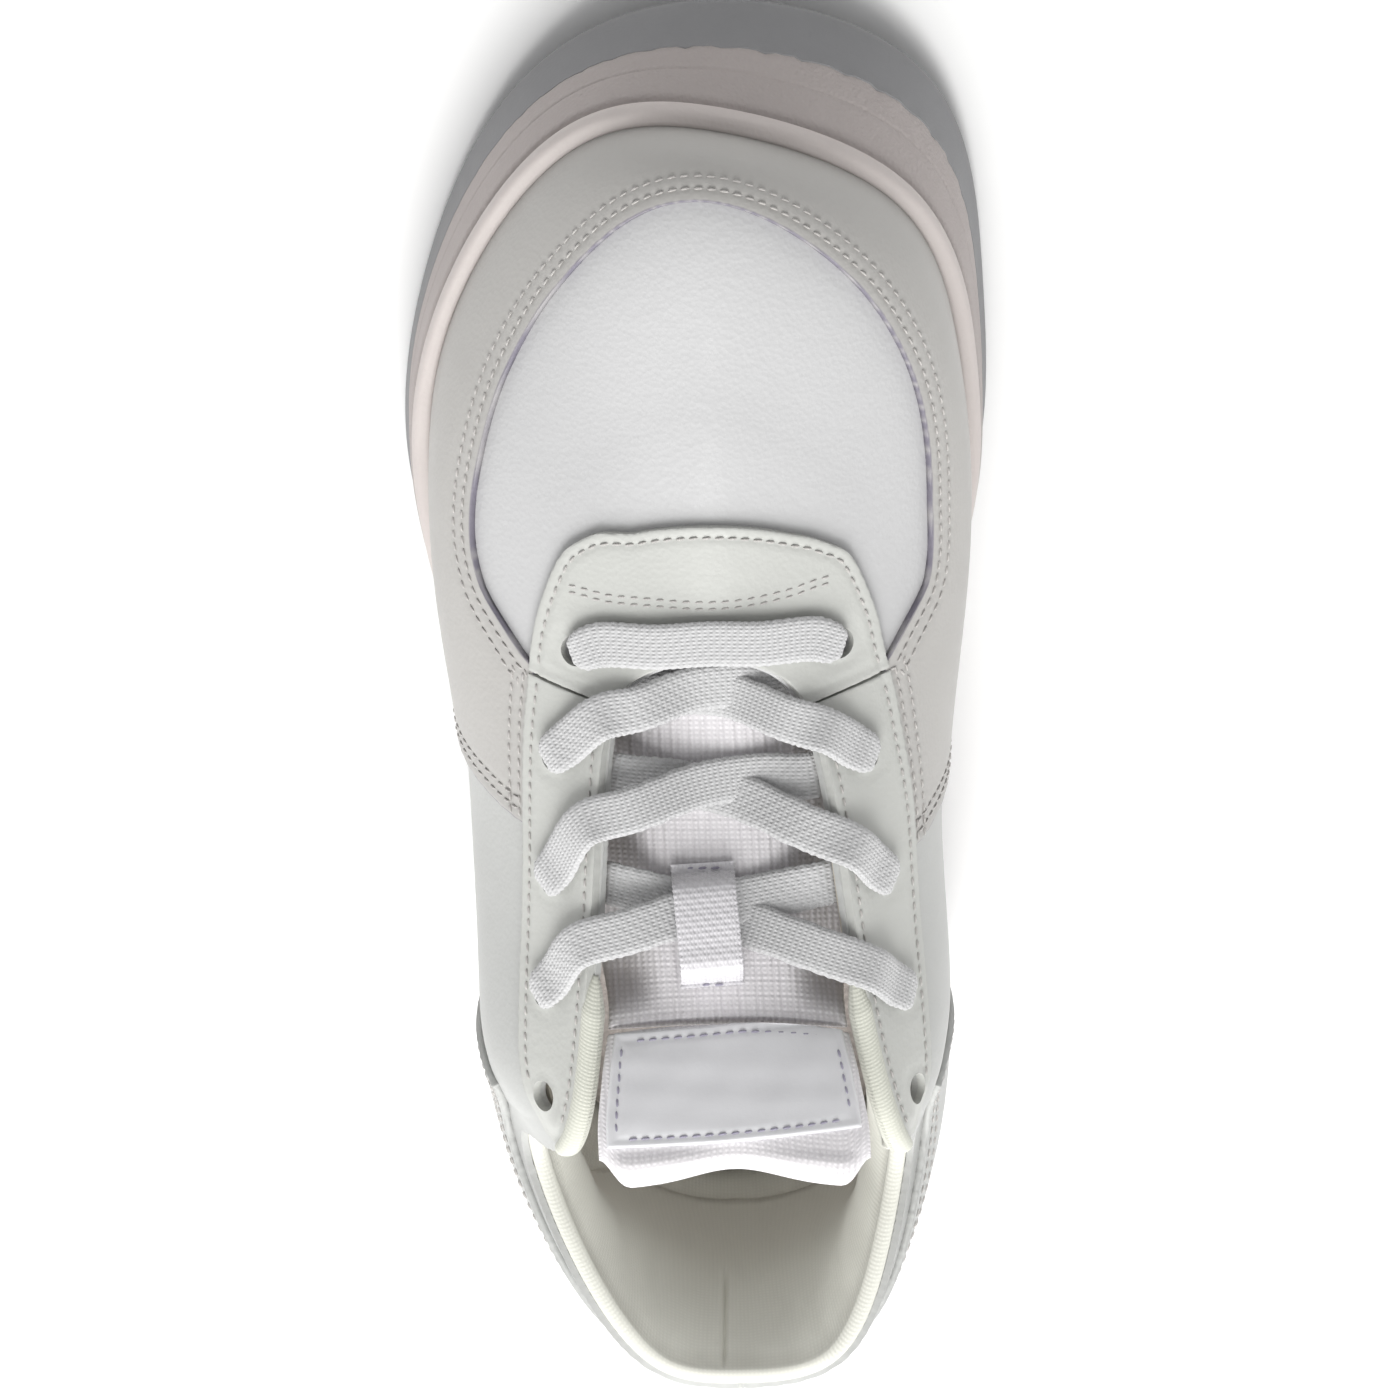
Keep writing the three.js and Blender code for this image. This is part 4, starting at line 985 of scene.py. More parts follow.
def punch_eyelets(obj, eyelets):
    """Cuts round holes through a panel, square to its surface."""
    points, faces = [], []
    for u, v in eyelets:
        ring = circle_on(u, v, EYELET_RADIUS)[:HOLE_SIDES]
        n = normal(u, v)
        low = np.arange(HOLE_SIDES) + len(points) * HOLE_SIDES
        high = low + HOLE_SIDES
        points += [ring - HOLE_REACH * n, ring + HOLE_REACH * n]
        faces += np.stack([low, np.roll(low, -1), np.roll(high, -1), high], 1).tolist()
        faces += [low[::-1].tolist(), high.tolist()]
    mesh = bpy.data.meshes.new("punch")
    mesh.from_pydata((np.concatenate(points) * MM).tolist(), [], faces)
    cutter = bpy.data.objects.new("punch", mesh)
    bpy.context.scene.collection.objects.link(cutter)
    cut = obj.modifiers.new("holes", "BOOLEAN")
    cut.object, cut.solver = cutter, "EXACT"
    apply_modifiers(obj)
    bpy.data.objects.remove(cutter)
    obj.data.set_sharp_from_angle(angle=math.radians(38))


def apply_modifiers(obj):
    bpy.context.view_layer.update()
    graph = bpy.context.evaluated_depsgraph_get()
    mesh = bpy.data.meshes.new_from_object(obj.evaluated_get(graph), depsgraph=graph)
    obj.modifiers.clear()
    obj.data = mesh


SIDE_OF = {"low": 1, "high": -1, "start": -1, "end": 1}


def surface_row(u, v, distance, lift):
    """A row for stitching: a line on the surface moved sideways, with its normals."""
    u, v = inset(u, v, distance)
    v = np.clip(v, 0.0, 0.999)
    return offset(u, v, np.full_like(u, lift)), normal(u, v)


def sew(name, edges, key, distances, lift, keep=(0.0, 1.0)):
    """Rows of stitches at given distances inside one edge of a panel."""
    u, v = edges[key]
    kept = slice(int(len(u) * keep[0]), int(len(u) * keep[1]))
    rows = [surface_row(u[kept], v[kept], SIDE_OF[key] * distance, lift) for distance in distances]
    stitching(name, rows, THREAD)


def eyelet_dents(eyelets):
    return [(circle_on(u, v, EYELET_RADIUS + 0.9), 0.22, 0.8) for u, v in eyelets]


def build_base_layer():
    vamp, _ = panel("vamp_panel", WHITE, (VAMP_SPLIT[0] + SEAM, VAMP_SPLIT[1] - SEAM), 0.0, 1.0, BASE)
    punch_eyelets(vamp, FRONT_EYELETS)
    stands_for(vamp, "white_leather", "vamp")
    for side, span, eyelets in (
        ("medial", (SEAM, VAMP_SPLIT[0] - SEAM), EYELETS_MEDIAL[1:]),
        ("lateral", (VAMP_SPLIT[1] + SEAM, COUNT - SEAM), EYELETS_LATERAL[1:]),
    ):
        quarter, _ = panel(f"quarter_{side}_panel", SIDE, span, 0.0, 1.0, BASE,
                           seams=[("high", COLLAR_SEAM)])
        punch_eyelets(quarter, eyelets)
        stands_for(quarter, "side_leather", f"quarter_{side}")


def build_mudguard():
    guard, edges = panel("mudguard_panel", GUARD, MUDGUARD_REAR, 0.0, mudguard_top, LOW_OVERLAY,
                         seams=[("high", GUARD_SEAMS), ("start", END_SEAMS), ("end", END_SEAMS)])
    stands_for(guard, "side_leather", "mudguard")
    sew("mudguard_stitching", edges, "high", GUARD_SEAMS, LOW_OVERLAY[1])
    for side, key in (("medial", "start"), ("lateral", "end")):
        sew(f"mudguard_rear_{side}_stitching", edges, key, END_SEAMS, LOW_OVERLAY[1], (0.12, 0.97))


def build_throat_tab():
    tab, edges = panel("throat_tab_panel", STAY, (TAB_SPLIT[0] + SEAM, TAB_SPLIT[1] - SEAM),
                       eyestay_edge, STAY_TOP, HIGH_OVERLAY, dents=eyelet_dents(FRONT_EYELETS),
                       seams=[("low", STAY_SEAM), ("start", TAB_SEAM), ("end", TAB_SEAM)])
    punch_eyelets(tab, FRONT_EYELETS)
    stands_for(tab, "white_leather", "throat_tab")
    sew("tab_front_stitching", edges, "low", STAY_SEAM, HIGH_OVERLAY[1])
    arc = centripetal([(u, v, 0) for u, v in TAB_ARC], np.linspace(0, 1, 120))
    rows = [surface_row(arc[:, 0], arc[:, 1], gap, HIGH_OVERLAY[1]) for gap in (-0.55, 0.55)]
    stitching("tab_arc_stitching", rows, THREAD)


def build_eyestays():
    for side, span, eyelets, keep in (
        ("medial", (EYESTAY_EDGE[0][0], TAB_SPLIT[0] - SEAM), EYELETS_MEDIAL[1:], (0.1, 1.0)),
        ("lateral", (TAB_SPLIT[1] + SEAM, EYESTAY_EDGE[-1][0]), EYELETS_LATERAL[1:], (0.0, 0.9)),
    ):
        stay, edges = panel(f"eyestay_{side}_panel", STAY, span, eyestay_edge, STAY_TOP, HIGH_OVERLAY,
                            seams=[("low", STAY_SEAM), ("high", STAY_SEAM)],
                            dents=eyelet_dents(eyelets),
                            swell=lambda u, outer, inner: (outer * thin_rear(u), inner))
        punch_eyelets(stay, eyelets)
        stands_for(stay, "white_leather", f"eyestay_{side}")
        sew(f"eyestay_{side}_stitching", edges, "low", STAY_SEAM, HIGH_OVERLAY[1], keep)
        sew(f"eyestay_{side}_throat_stitching", edges, "high", STAY_SEAM, HIGH_OVERLAY[1], keep)


def build_foxing():
    foxing, edges = panel("heel_foxing_panel", SIDE, (FOXING_FRONT[1], FOXING_FRONT[0] + COUNT), 0.0,
                          foxing_top, LOW_OVERLAY,
                          seams=[("high", FOXING_SEAMS), ("start", END_SEAMS), ("end", END_SEAMS)])
    stands_for(foxing, "side_leather", "heel_foxing")
    sew("foxing_top_stitching", edges, "high", FOXING_SEAMS, LOW_OVERLAY[1])
    for side, key in (("lateral", "start"), ("medial", "end")):
        sew(f"foxing_{side}_stitching", edges, key, END_SEAMS, LOW_OVERLAY[1], (0.15, 0.97))


def build_heel_tab():
    heel, edges = panel("heel_tab_panel", STAY, (19.7, 20.3), 0.6, 0.95, HEEL_TAB_LAYER,
                        seams=[("start", TAB_SEAM), ("end", TAB_SEAM)])
    stands_for(heel, "white_leather", "heel_tab")
    for side, key in (("lateral", "start"), ("medial", "end")):
        sew(f"heel_tab_{side}_stitching", edges, key, TAB_SEAM, HEEL_TAB_LAYER[1])


# ---- lining, padding and sockliner -----------------------------------------

THROAT_BINDINGS = {"lateral": (14.75, 16.06), "medial": (5.25, 3.94)}
BINDING_ROWS = 90
BINDING_SIDES = 20
BINDING_HIGH = 2.1
BINDING_WIDE = 1.9


def build_bindings():
    """Soft bound edges of the throat, from the last rows of eyelets into the collar."""
    for side, (start, end) in THROAT_BINDINGS.items():
        u = np.linspace(start, end, BINDING_ROWS)
        centre = offset(u, 0.999, np.full_like(u, -0.2))
        n = normal(u, 0.99)
        across = unit(partials(u, 0.99)[1])
        share = np.linspace(0, 1, BINDING_ROWS)
        full = np.sqrt(np.clip(np.minimum(share / 0.15, (1.02 - share) / 0.1), 0.05, 1))[:, None]
        angle = np.arange(BINDING_SIDES) * 2 * math.pi / BINDING_SIDES
        points = np.stack([
            centre + full * (n * BINDING_HIGH * math.sin(a) + across * BINDING_WIDE * math.cos(a))
            for a in angle
        ], 1)
        uv = np.stack([np.repeat(run_length(centre), BINDING_SIDES),
                       np.tile(angle * 2, BINDING_ROWS)], 1) * MM
        binding = add_tube(f"throat_binding_{side}", points, BINDING, uv)


def build_lining():
    lining, _ = panel("quarter_lining_panel", LINING, (13.112, 26.888), 0.0,
                      lambda u: padding_low(u) + 0.03, (-3.9, -2.7))
    stands_for(lining, "lining", "quarter_lining")


COLLAR_SPAN = (16.02, 23.98)
COLLAR_PAD = 7.6  # about 2 mm deeper than its solid's
COLLAR_OUTER = -1.3
COLLAR_INNER = -2.8
PUCKER = 0.35
SEAM_GROOVE = 0.9
HEEL_SEAM = 19.86


def build_collar():
    """The padded collar: its outer side lies on the quarters, its top rolls over the edge."""
    u = np.linspace(*COLLAR_SPAN, 300)
    u = np.unique(np.concatenate([u, HEEL_SEAM + np.linspace(-0.08, 0.08, 17)]))
    low = padding_low(u)
    ends = np.sqrt(np.clip(np.minimum(u - u[0], u[-1] - u) / 0.35, 0, 1))
    seam = np.exp(-(((u - HEEL_SEAM) / 0.025) ** 2))
    up = unit(partials(u, 0.99)[1])
    shares = np.linspace(0.03, 0.97, 14)
    rows = [offset(u, mix(low, 1.0, share), np.full_like(u, COLLAR_OUTER)) for share in shares]
    top = surface(u, np.ones_like(u))
    n = normal(u, np.full_like(u, 0.995))
    for angle in np.linspace(math.pi * 0.95, 0.0, 9):
        radius = mix(1.2, 1.5, ends)[:, None]
        centre = top - n * (1.2 + radius)
        rows.append(centre - n * radius * math.cos(angle) + up * radius * 0.75 * math.sin(angle))
    for w in np.linspace(0.94, 0.0, 30):
        v = mix(low, 1.0, w)
        bulge = COLLAR_PAD * np.sin(math.pi * mix(0.05, 0.97, w)) ** 0.8 * mix(0.35, 1.0, ends)
        bulge = bulge + PUCKER * w * np.sin(9 * u + 4 * w) * np.sin(5 * w - 5 * u) * ends
        groove = SEAM_GROOVE * seam * smoothstep(w, 0.45, 0.6)
        rows.append(offset(u, v, COLLAR_INNER - bulge + groove))
    points = np.stack(rows, 1)
    count, across = points.shape[:2]
    uv = np.stack([np.repeat(run_length(points[:, 20]), across),
                   np.tile(run_length(points[150]), count)], 1) * MM
    collar = add_tube("padded_collar", points, LINING, uv)
    stands_for(collar, "lining", "collar_padding")


SOCK_BOTTOM = 2.0
SOCK_TOP = 7.2
HEEL_CUP = 2.2


def skirt(distance, lift):
    """A ring beside the tucked edge of the upper, at a height above the sole's floor."""
    points = offset(U_RING, 0.0, np.full(AROUND, distance))
    points[:, 2] = floor_height(points[:, 1]) + lift
    return points


def build_sockliner():
    """The sock: a flat fabric-faced foam with a shallow cup round the heel."""
    ring = [skirt(-5.0, SOCK_BOTTOM), skirt(-4.0, SOCK_BOTTOM + 0.4), skirt(-3.9, SOCK_TOP - 1.2)]
    centre = np.zeros((AROUND, 3))
    edge = skirt(-4.0, SOCK_TOP)
    spine_y = np.clip(edge[:, 1], -84, 74)
    centre[:, 0] = np.interp(spine_y, [-84, -40, 0, 50, 74], [5.5, 3, 0.5, -0.5, 0.5])
    centre[:, 1] = spine_y
    shares = np.concatenate([[0, 0.015, 0.04, 0.08], np.linspace(0.13, 1, 22)])
    for share in shares:
        row = mix(edge, centre, share)
        heel = 1 - smoothstep(row[:, 1], -95, -60)
        cup = HEEL_CUP * heel * (1 - smoothstep(share, 0.0, 0.35))
        row[:, 2] = floor_height(row[:, 1]) + SOCK_TOP + cup - 0.35 * (1 - smoothstep(share, 0, 0.05))
        ring.append(row)
    faces = list(map(tuple, grid_faces(len(ring), AROUND, wrap_columns=True)[:, ::-1]))
    base = len(ring) * AROUND
    middle = centre.copy()
    middle[:, 2] = floor_height(middle[:, 1]) + SOCK_BOTTOM
    points = np.concatenate([*ring, middle])
    for i in range(AROUND):
        j = (i + 1) % AROUND
        faces.append((i, base + i, base + j, j))
    sock = add_object("sockliner_sheet", points, faces, SOCK, uv=points[:, :2] * MM)
    weld(sock)
    stands_for(sock, "sock_fabric", "sockliner")


def weld(obj):
    """Merges points that lie on each other, and drops the faces that this empties."""
    distance = 0.05 * MM
    mesh = bmesh.new()
    mesh.from_mesh(obj.data)
    bmesh.ops.remove_doubles(mesh, verts=mesh.verts, dist=distance)
    bmesh.ops.dissolve_degenerate(mesh, edges=mesh.edges, dist=distance)
    mesh.to_mesh(obj.data)
    mesh.free()


# ---- tongue ----------------------------------------------------------------

TONGUE_CENTRES = [row[:3] for row in TONGUE]


def tongue_column(k, s):
    return table([(i, row[k]) for i, row in enumerate(TONGUE)], s)


def tongue_row(s):
    s = np.asarray(s, float)
    centre = centripetal(TONGUE_CENTRES, s / TONGUE_END)
    ahead = centripetal(TONGUE_CENTRES, np.minimum((s + 0.01) / TONGUE_END, 1))
    behind = centripetal(TONGUE_CENTRES, np.maximum((s - 0.01) / TONGUE_END, 0))
    run = unit(ahead - behind)
    up = unit(np.cross(run, [1.0, 0, 0]))
    return centre, up, tongue_column(3, s), tongue_column(4, s), tongue_column(5, s)


def tongue_point(s, t, lift=0.0):
    """s counts rows, t runs -1 (lateral) to 1 (medial), lift is height over the top face."""
    s, t, lift = np.broadcast_arrays(np.asarray(s, float), t, lift)
    centre, up, half, drop, _ = tongue_row(s)
    side = np.array([1.0, 0, 0])
    sag = (lift - drop * np.abs(t) ** 2.2)[..., None]
    return centre + side * (half * t)[..., None] + up * sag


def double_grid(name, ss, tt, top, bottom, material, body):
    """A closed plate on the tongue between two heights given at each grid point."""
    high = tongue_point(ss, tt, top)
    low = tongue_point(ss, tt, bottom)
    rows, columns = ss.shape
    count = rows * columns
    quads = grid_faces(rows, columns)
    run = run_length(high[:, columns // 2])
    wide = tongue_column(3, ss) * tt
    uv = np.stack([wide, np.repeat(run[:, None], columns, 1)], -1).reshape(-1, 2) * MM
    border = [(i, 0) for i in range(rows)] + [(rows - 1, j) for j in range(1, columns)]
    border += [(i, columns - 1) for i in range(rows - 2, -1, -1)]
    border += [(0, j) for j in range(columns - 2, 0, -1)]
    index = [i * columns + j for i, j in border]
    walls = [(a, b, b + count, a + count) for a, b in zip(index, index[1:] + index[:1])]
    faces = np.concatenate([quads, quads[:, ::-1] + count, np.array(walls)[:, ::-1]])
    points = np.concatenate([high.reshape(-1, 3), low.reshape(-1, 3)])
    return add_object(name, points, faces, material, body, uv=np.concatenate([uv, uv]))


TONGUE_DROOP = 6.0  # how far the tongue's sides hang below the flaps between the laces


def build_tongue_lower():
    s = np.linspace(0, TONGUE_FOLD - FOLD_GAP, 200)
    t = np.linspace(-1, 1, 169)
    ss, tt = np.meshgrid(s, t, indexing="ij")
    thick = tongue_column(5, ss) * mix(1, 0.45, np.abs(tt) ** 3)
    rib = 0.03 * np.cos(ss * 2 * math.pi * 8) + 0.12 * np.cos(tt * 2 * math.pi * 14)
    edge = rolled((1 - np.abs(tt)) * 21, 1.1)
    laced = smoothstep(ss, 0.8, 1.6) * (1 - smoothstep(ss, 5.4, 6.2))
    droop = TONGUE_DROOP * smoothstep(np.abs(tt), 0.5, 0.86) * laced
    lower = double_grid("tongue_lower_mesh", ss, tt, rib * (1 - np.abs(tt) ** 6) - edge - droop,
                        -thick + edge * 0.5 - droop, MESH, SHOE)
    stands_for(lower, "mesh", "tongue_lower")


LOBE_END = 8.98
LOBE_NOTCH = 0.3
LOBE_ROUND = 0.55


def build_tongue_upper():
    """The padded top of the tongue, ending in two soft lobes."""
    w = np.linspace(0, 1, 110)
    t = np.linspace(-1, 1, 131)
    ww, tt = np.meshgrid(w, t, indexing="ij")
    corners = LOBE_ROUND * smoothstep(np.abs(tt), 0.72, 1.0) ** 2
    lobes = LOBE_END - LOBE_NOTCH * np.exp(-((tt / 0.42) ** 2)) - corners
    ss = mix(TONGUE_FOLD + FOLD_GAP, lobes, ww)
    thick = tongue_column(5, ss) * mix(1, 0.45, np.abs(tt) ** 3)
    reach = np.clip((lobes - ss) * 8.4, 0, 4)
    tip = np.sqrt(np.clip(1 - (1 - reach / 4) ** 2, 0, 1))
    side = np.sqrt(np.clip(1 - np.clip((np.abs(tt) - 0.9) / 0.1, 0, 1) ** 2, 0, 1))
    full = mix(0.18, 1.0, tip) * mix(0.35, 1, side)
    puff = 0.9 * smoothstep(ss, 8.35, 8.7) * tip + 0.25 * smoothstep(np.abs(tt), 0.9, 0.97)
    rib = 0.08 * np.cos(tt * 2 * math.pi * 14)
    middle = -thick / 2
    top = middle + (thick / 2 + puff + rib) * full
    bottom = middle - thick / 2 * full
    upper = double_grid("tongue_padded_top", ss, tt, top, bottom, MESH, TONGUE_TOP)
    stands_for(upper, "mesh", "tongue_upper")


# The label's rows along the tongue, its half width as a share, and its slant toward one side.
LABEL_S = (6.42, 8.27)
LABEL_HALF = 0.94
LABEL_TURN = -0.18


def label_place(p, q):
    """A point of the label from -1 to 1 along and across, as tongue rows and shares."""
    return mix(LABEL_S[0], LABEL_S[1], (p + 1) / 2) + LABEL_TURN * (q + q * q), LABEL_HALF * q


def build_label():
    p, q = np.meshgrid(np.linspace(-1, 1, 70), np.linspace(-1, 1, 110), indexing="ij")
    ss, tt = label_place(p, q)
    ss = np.maximum(ss, TONGUE_FOLD + FOLD_GAP + 0.012 * (p + 1))
    edge = np.minimum((1 - np.abs(p)) * 9.5, (1 - np.abs(q)) * 20)
    creases = 0.07 * np.sin(9 * p + 4 * q) * np.sin(3 * p - 7 * q)
    crown = 0.12 * smoothstep(edge, 1.4, 6) - 0.16 * np.exp(-(((edge - 1.5) / 0.6) ** 2))
    top = 1.0 + crown + creases - rolled(edge, 0.3)
    label = double_grid("tongue_label_patch", ss, tt, top, np.full_like(top, -0.15), LABEL, TONGUE_TOP)
    stands_for(label, "label_film", "tongue_label")
    rows = []
    inner = 0.84
    for a, b, fixed, axis in ((-0.9, 0.9, inner, 0), (-0.9, 0.9, -inner, 0),
                              (-inner, inner, 0.92, 1), (-inner, inner, -0.92, 1)):
        line = np.linspace(a, b, 60)
        still = np.full(60, fixed)
        s, t = label_place(*((still, line) if axis == 0 else (line, still)))
        points = tongue_point(np.maximum(s, TONGUE_FOLD + 0.2), t, 0.92)
        rows.append((points, tongue_row(s)[1]))
    stitches = stitching("label_stitching", rows, LABEL_THREAD, TONGUE_TOP)


def nearest_row(y):
    s = np.arange(0, TONGUE_END + 0.01, 0.02)
    return float(s[np.argmin(np.abs(tongue_row(s)[0][:, 1] - y))])


# ---- lace ------------------------------------------------------------------

LACE_ABOVE = OVERLAY_TOP + 0.3 + LACE_THICK / 2
LACE_BELOW = STAY_BOTTOM - 0.35 - LACE_THICK / 2
KNOT_STEPS = 14


def knot_on(u, v, distance, turn, width, thick):
    return offset(u, v, distance), normal(u, v) * turn, width, thick


def through_eyelet(eyelet, come_from, go_to, turn, shy=0.0):
    """Over the flap to one eyelet's lip, through it short of its middle, and away below."""
    hole, n = surface(*eyelet), normal(*eyelet)

    def along(place):
        run = place - hole
        return unit(run - n * (run @ n))

    back, away = along(come_from), along(go_to)

    def knot(way, far, height, across, level, width, thick):
        return hole + way * far + n * height, (n * level - back * across) * turn, width, thick

    return [
        knot(back, 4.4 + shy, LACE_ABOVE + 0.35, 0, 1, LACE_WIDTH, LACE_THICK),
        knot(back, 0.9 + shy, LACE_ABOVE + 0.5, 0.25, 1, 6.6, 1.3),
        knot(back, shy - 0.7, OVERLAY_TOP + 0.5, 1, 0.5, 4.4, 1.6),
        knot(back, shy * 0.8, -0.4, 1, 0, 3.4, 2),
        knot(away, 0.3, STAY_BOTTOM - 1.1, 1, -1, 3.8, 1.8),
        knot(away, 3.4, LACE_BELOW - 0.3, 0, -1, 5.4, LACE_THICK),
    ]


def under_edge(side, row):
    eyelets = side["eyelets"]
    u = mix(eyelets[row][0], eyelets[row + 1][0], side["under"][row])
    return u, offset(u, 0.985, LACE_BELOW)


def over_edge(side, row):
    eyelets = side["eyelets"]
    u = mix(eyelets[row][0], eyelets[row - 1][0], side["over"][row])
    return u, offset(u, 0.99, LACE_ABOVE + 1.25)


def crossing(side, other_side, row, turn, lift):
    """The strand from one side's row over the tongue to the next row on the other side."""
    under_u, under = under_edge(side, row)
    over_u, over = over_edge(other_side, row + 1)

    def on_tongue(share, height):
        point = mix(under, over, share)
        s = nearest_row(point[1])
        centre, up, half, _, _ = tongue_row(s)
        at = tongue_point(s, (point[0] - centre[0]) / half, height)
        return at, up * turn, LACE_WIDTH, LACE_THICK

    middle = on_tongue(0.5, lift)
    high = mix(middle[0], over, 0.6) + middle[1] * turn * 1.7
    return [
        (under, normal(under_u, 0.985) * turn, LACE_WIDTH, LACE_THICK),
        on_tongue(0.25, LOWER_STRAND + 0.2),
        middle,
        (high, middle[1], LACE_WIDTH, LACE_THICK),
        (over, normal(over_u, 0.99) * turn, LACE_WIDTH, LACE_THICK),
    ]


def lace_half(here, there):
    """One half of the lace, from the middle of the front bar to its tucked end."""
    turn = 1
    opposite = surface(*there["eyelets"][0]) + [0, BAR_RISE, 0]
    away = under_edge(here, 0)[1]
    knots = through_eyelet(here["eyelets"][0], opposite, away, turn, BAR_SHY)
    for row in range(LACED_ROWS - 1):
        turn = -turn
        knots += crossing(here, there, row, turn, here["lift"])
        eyelet = there["eyelets"][row + 1]
        last = row + 2 == LACED_ROWS
        leave = surface(eyelet[0], 0.7) if last else under_edge(there, row + 1)[1]
        knots += through_eyelet(eyelet, over_edge(there, row + 1)[1], leave, turn)
        here, there = there, here
    u = here["eyelets"][LACED_ROWS - 1][0]
    onward = np.sign(here["eyelets"][LACED_ROWS][0] - u)
    for du, v, distance in ((0.1, 0.72, -5.2), (0.2, 0.62, -5.8), (0.25, 0.5, -6)):
        knots.append(knot_on(u + onward * du, v, distance, -turn, 4.6, 1.5))
    for v in (0.36, 0.2):
        knots.append(knot_on(u + onward * 0.26, v, -6.2, -turn, AGLET_BORE, AGLET_BORE))
    return knots


def tab_top(x, y):
    u, v = np.meshgrid(np.arange(7, 13.01, 0.05), np.arange(0.8, 1.0, 0.01), indexing="ij")
    points = offset(u, v, np.full_like(u, OVERLAY_TOP)).reshape(-1, 3)
    return points[np.argmin(np.hypot(points[:, 0] - x, points[:, 1] - y)), 2]


def front_bar():
    ends = surface(*EYELETS_MEDIAL[0]), surface(*EYELETS_LATERAL[0])
    knots = []
    for share in (0.3, 0.5, 0.7):
        at = mix(ends[0], ends[1], share)
        at[1] += BAR_SHIFT + BAR_BOW * math.sin(math.pi * share)
        at[2] = tab_top(at[0], at[1]) + 0.9 + LACE_THICK / 2
        face = unit(np.array([mix(0.25, -0.25, share), 0.22, 1]))
        knots.append((at, face, LACE_WIDTH, LACE_THICK))
    return knots


def strip(name, knots, material, weave):
    """A flat woven strip with rounded edges, swept through knots of place, face and size."""
    spans = len(knots) - 1
    count = spans * KNOT_STEPS
    t = np.arange(count + 1) / count
    places = np.stack([knot[0] for knot in knots])
    centre = centripetal(places, t)
    ahead = centripetal(places, np.minimum(t + 1e-4, 1))
    behind = centripetal(places, np.maximum(t - 1e-4, 0))
    run = unit(ahead - behind)
    at = t * spans
    a = np.minimum(at.astype(int), spans - 1)
    local = (at - a)[:, None]
    faces_of = np.stack([knot[1] for knot in knots])
    eased = local * local * (3 - 2 * local)
    face = mix(faces_of[a], faces_of[a + 1], eased)
    face = unit(face - run * (face * run).sum(1, keepdims=True))
    across = np.cross(run, face)
    sizes = np.array([knot[2:] for knot in knots], float)
    width, thick = (mix(sizes[a], sizes[a + 1], local)).T
    length = run_length(centre)
    tooth = 0.10 * np.cos(2 * math.pi * length / weave)
    x = np.array([-0.5, -0.485, -0.44, -0.38, -0.28, -0.15, 0, 0.15, 0.28, 0.38, 0.44, 0.485])
    half = np.sqrt(np.clip(1 - (np.abs(2 * x) ** 7), 0, 1)) * 0.5
    profile = [(px, h) for px, h in zip(x, half)] + [(-px, -h) for px, h in zip(x, half)]
    rows = []
    for px, py in profile:
        wide = (px * (width + 2 * tooth * (abs(px) > 0.43)))[:, None]
        crown = 0.10 * math.cos(px * 2 * math.pi * 3) * (abs(px) < 0.43)
        high = (py * thick + math.copysign(1, py) * crown * 0.6 * (py != 0))[:, None]
        rows.append(centre + across * wide + face * high)
    points = np.stack(rows, 1)
    sideways = np.array([p[0] for p in profile])[None] * width[:, None]
    uv = np.stack([sideways, np.repeat(length[:, None], len(profile), 1)], -1).reshape(-1, 2) * MM
    return add_tube(name, points, material, uv, flip=True)


def build_lace():
    medial = lace_half(MEDIAL_SIDE, LATERAL_SIDE)
    lateral = lace_half(LATERAL_SIDE, MEDIAL_SIDE)
    lace = strip("flat_lace", medial[::-1] + front_bar() + lateral, LACE, weave=1.15)
    stands_for(lace, "lace", "shoelace")


# The keeper's path: tongue rows and heights over the tongue.
KEEPER = [(3.86, 0.85), (3.98, 1), (4.14, 4.7), (4.55, 6), (5.1, 6.4), (5.5, 6.2), (5.72, 1), (5.82, 0.85)]
KEEPER_T = -0.12  # a little to the lateral side
KEEPER_WIDTH = 10
KEEPER_THICK = 0.9


def build_keeper():
    knots = []
    for s, lift in KEEPER:
        knots.append((tongue_point(s, KEEPER_T, lift), tongue_row(s)[1], KEEPER_WIDTH, KEEPER_THICK))
    keeper = strip("lace_keeper_loop", knots, KEEPER_TAPE, weave=0.9)
    stands_for(keeper, "mesh", "lace_keeper")
    rows = []
    for s in (KEEPER[1][0] - 0.06, KEEPER[-1][0] - 0.03):
        t = np.linspace(KEEPER_T - 0.2, KEEPER_T + 0.2, 30)
        rows.append((tongue_point(np.full(30, s), t, 1.35), np.repeat(tongue_row(s)[1][None], 30, 0)))
    tacks = stitching("keeper_stitching", rows, LABEL_THREAD)


# ---- what stays from the solids ---------------------------------------------

def finish_hidden_nodes():
    """The stiffeners, foam, board, forward lining and aglets keep their solids."""
    looks = {
        "midsole_foam": FOAM, "insole_board": BOARD, "toe_puff": STIFF, "heel_counter": STIFF,
        "eyelet_stay_medial": STIFF, "eyelet_stay_lateral": STIFF, "vamp_lining": LINING,
        "aglet_medial": AGLET, "aglet_lateral": AGLET,
    }
    for node, material in looks.items():
        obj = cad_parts[node]
        for slot in obj.material_slots:
            slot.material = material


# ---- camera, floor and light -------------------------------------------------

CAMERA_TARGET = np.array([-0.02, -0.46, 40.0])
CAMERA_DISTANCE = 1131.0
CAMERA_LENS = 180
CAMERA_TILT = math.radians(30)
CAMERA_YAW = math.radians(2.08)
CAMERA_ROLL = math.radians(-2.31)


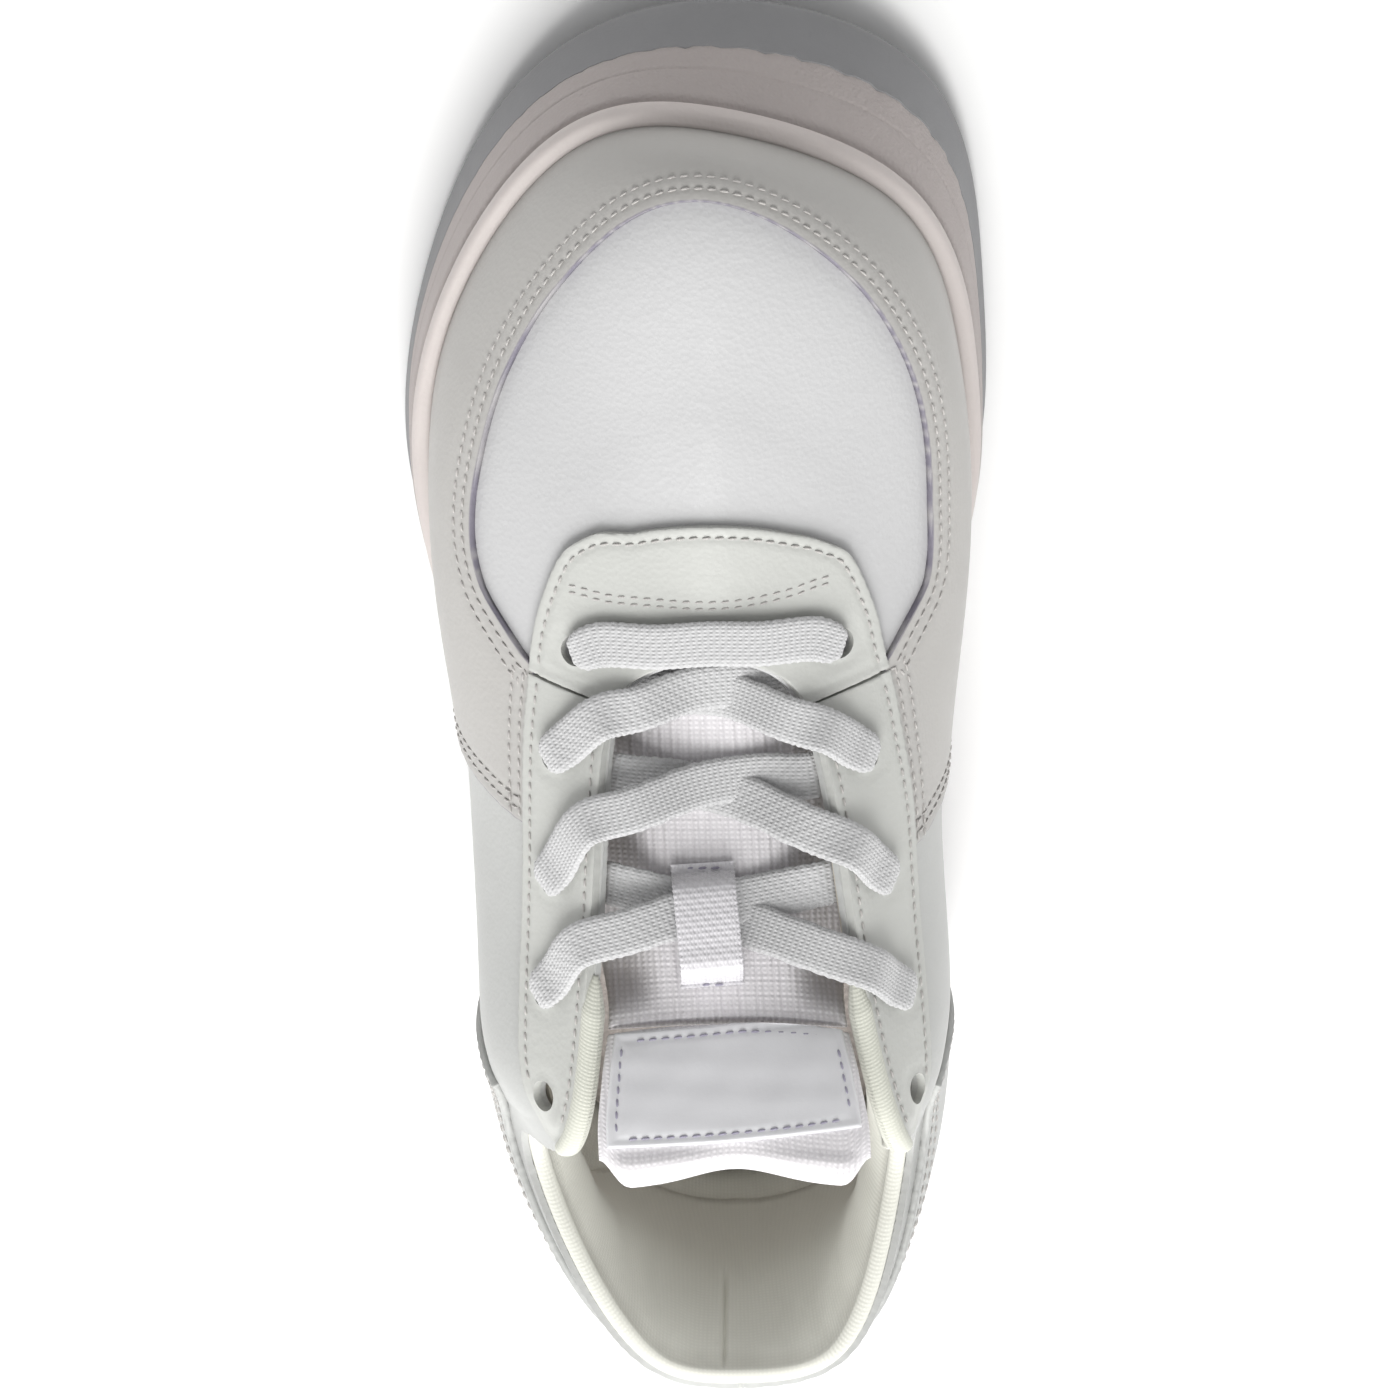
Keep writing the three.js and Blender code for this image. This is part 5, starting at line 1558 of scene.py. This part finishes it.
def build_camera():
    turn = np.array([[math.cos(CAMERA_YAW), -math.sin(CAMERA_YAW), 0],
                     [math.sin(CAMERA_YAW), math.cos(CAMERA_YAW), 0], [0, 0, 1]])
    look = turn @ [0, -math.sin(CAMERA_TILT), -math.cos(CAMERA_TILT)]
    up = turn @ [0, math.cos(CAMERA_TILT), -math.sin(CAMERA_TILT)]
    right = np.cross(look, up)
    c, s = math.cos(CAMERA_ROLL), math.sin(CAMERA_ROLL)
    right, up = c * right + s * up, c * up - s * right
    place = (CAMERA_TARGET - CAMERA_DISTANCE * look) * MM
    data = bpy.data.cameras.new("camera")
    data.lens = CAMERA_LENS
    data.sensor_width = 36
    camera = bpy.data.objects.new("camera", data)
    matrix = np.eye(4)
    matrix[:3, 0], matrix[:3, 1], matrix[:3, 2], matrix[:3, 3] = right, up, -look, place
    camera.matrix_world = Matrix(matrix.tolist())
    bpy.context.scene.collection.objects.link(camera)
    bpy.context.scene.camera = camera


def area_light(name, place, aim, size, power, colour):
    data = bpy.data.lights.new(name, "AREA")
    data.shape, data.size, data.energy, data.color = "DISK", size, power, colour
    light = bpy.data.objects.new(name, data)
    light.location = place
    light.rotation_euler = (Vector(aim) - Vector(place)).to_track_quat("-Z", "Y").to_euler()
    bpy.context.scene.collection.objects.link(light)


FLOOR_HALF = 3
FLOOR_DEPTH = 0.0003
SKY_STRENGTH = 0.68
SKY_FADE = {"From Min": -0.8, "From Max": 0.9, "To Min": 1.35, "To Max": 0.3}


def build_floor():
    corners = ((-1, -1), (1, -1), (1, 1), (-1, 1))
    mesh = bpy.data.meshes.new("floor")
    mesh.from_pydata([(x * FLOOR_HALF, y * FLOOR_HALF, -FLOOR_DEPTH) for x, y in corners],
                     [], [(0, 1, 2, 3)])
    look = Look("floor_paper", roughness=0.9, specular=0.1)
    look.colour(look.ramp(look.noise(3, 2), [(0.3, (0.93,) * 3), (0.7, (0.95,) * 3)]))
    mesh.materials.append(look.material)
    floor = bpy.data.objects.new("floor", mesh)
    bpy.context.scene.collection.objects.link(floor)


def build_sky():
    """A pale surround, dimmer beyond the toe than behind the heel."""
    world = bpy.data.worlds.new("studio")
    world.use_nodes = True
    tree = world.node_tree
    sky = tree.nodes["Background"]
    sky.inputs["Strength"].default_value = SKY_STRENGTH
    direction = tree.nodes.new("ShaderNodeTexCoord").outputs["Generated"]
    parts = tree.nodes.new("ShaderNodeSeparateXYZ")
    tree.links.new(direction, parts.inputs[0])
    dimmer = tree.nodes.new("ShaderNodeMapRange")
    for socket, value in SKY_FADE.items():
        dimmer.inputs[socket].default_value = value
    tree.links.new(parts.outputs["Y"], dimmer.inputs["Value"])
    tree.links.new(dimmer.outputs["Result"], sky.inputs["Color"])
    bpy.context.scene.world = world


def build_lights():
    area_light("key", (-0.15, -1.0, 1.3), (0, -0.02, 0.03), 1.5, 24, (1, 0.995, 0.985))
    area_light("inside", (0.03, -0.3, 1.4), (0, -0.08, 0.05), 0.8, 7, (1, 1, 0.98))
    bpy.context.scene.view_settings.view_transform = "Standard"


build_camera()
build_floor()
build_sky()
build_lights()
build_outsole()
build_cup()
build_base_layer()
build_mudguard()
build_throat_tab()
build_eyestays()
build_foxing()
build_heel_tab()
build_lining()
build_collar()
build_bindings()
build_sockliner()
build_tongue_lower()
build_tongue_upper()
build_label()
build_lace()
build_keeper()
finish_hidden_nodes()
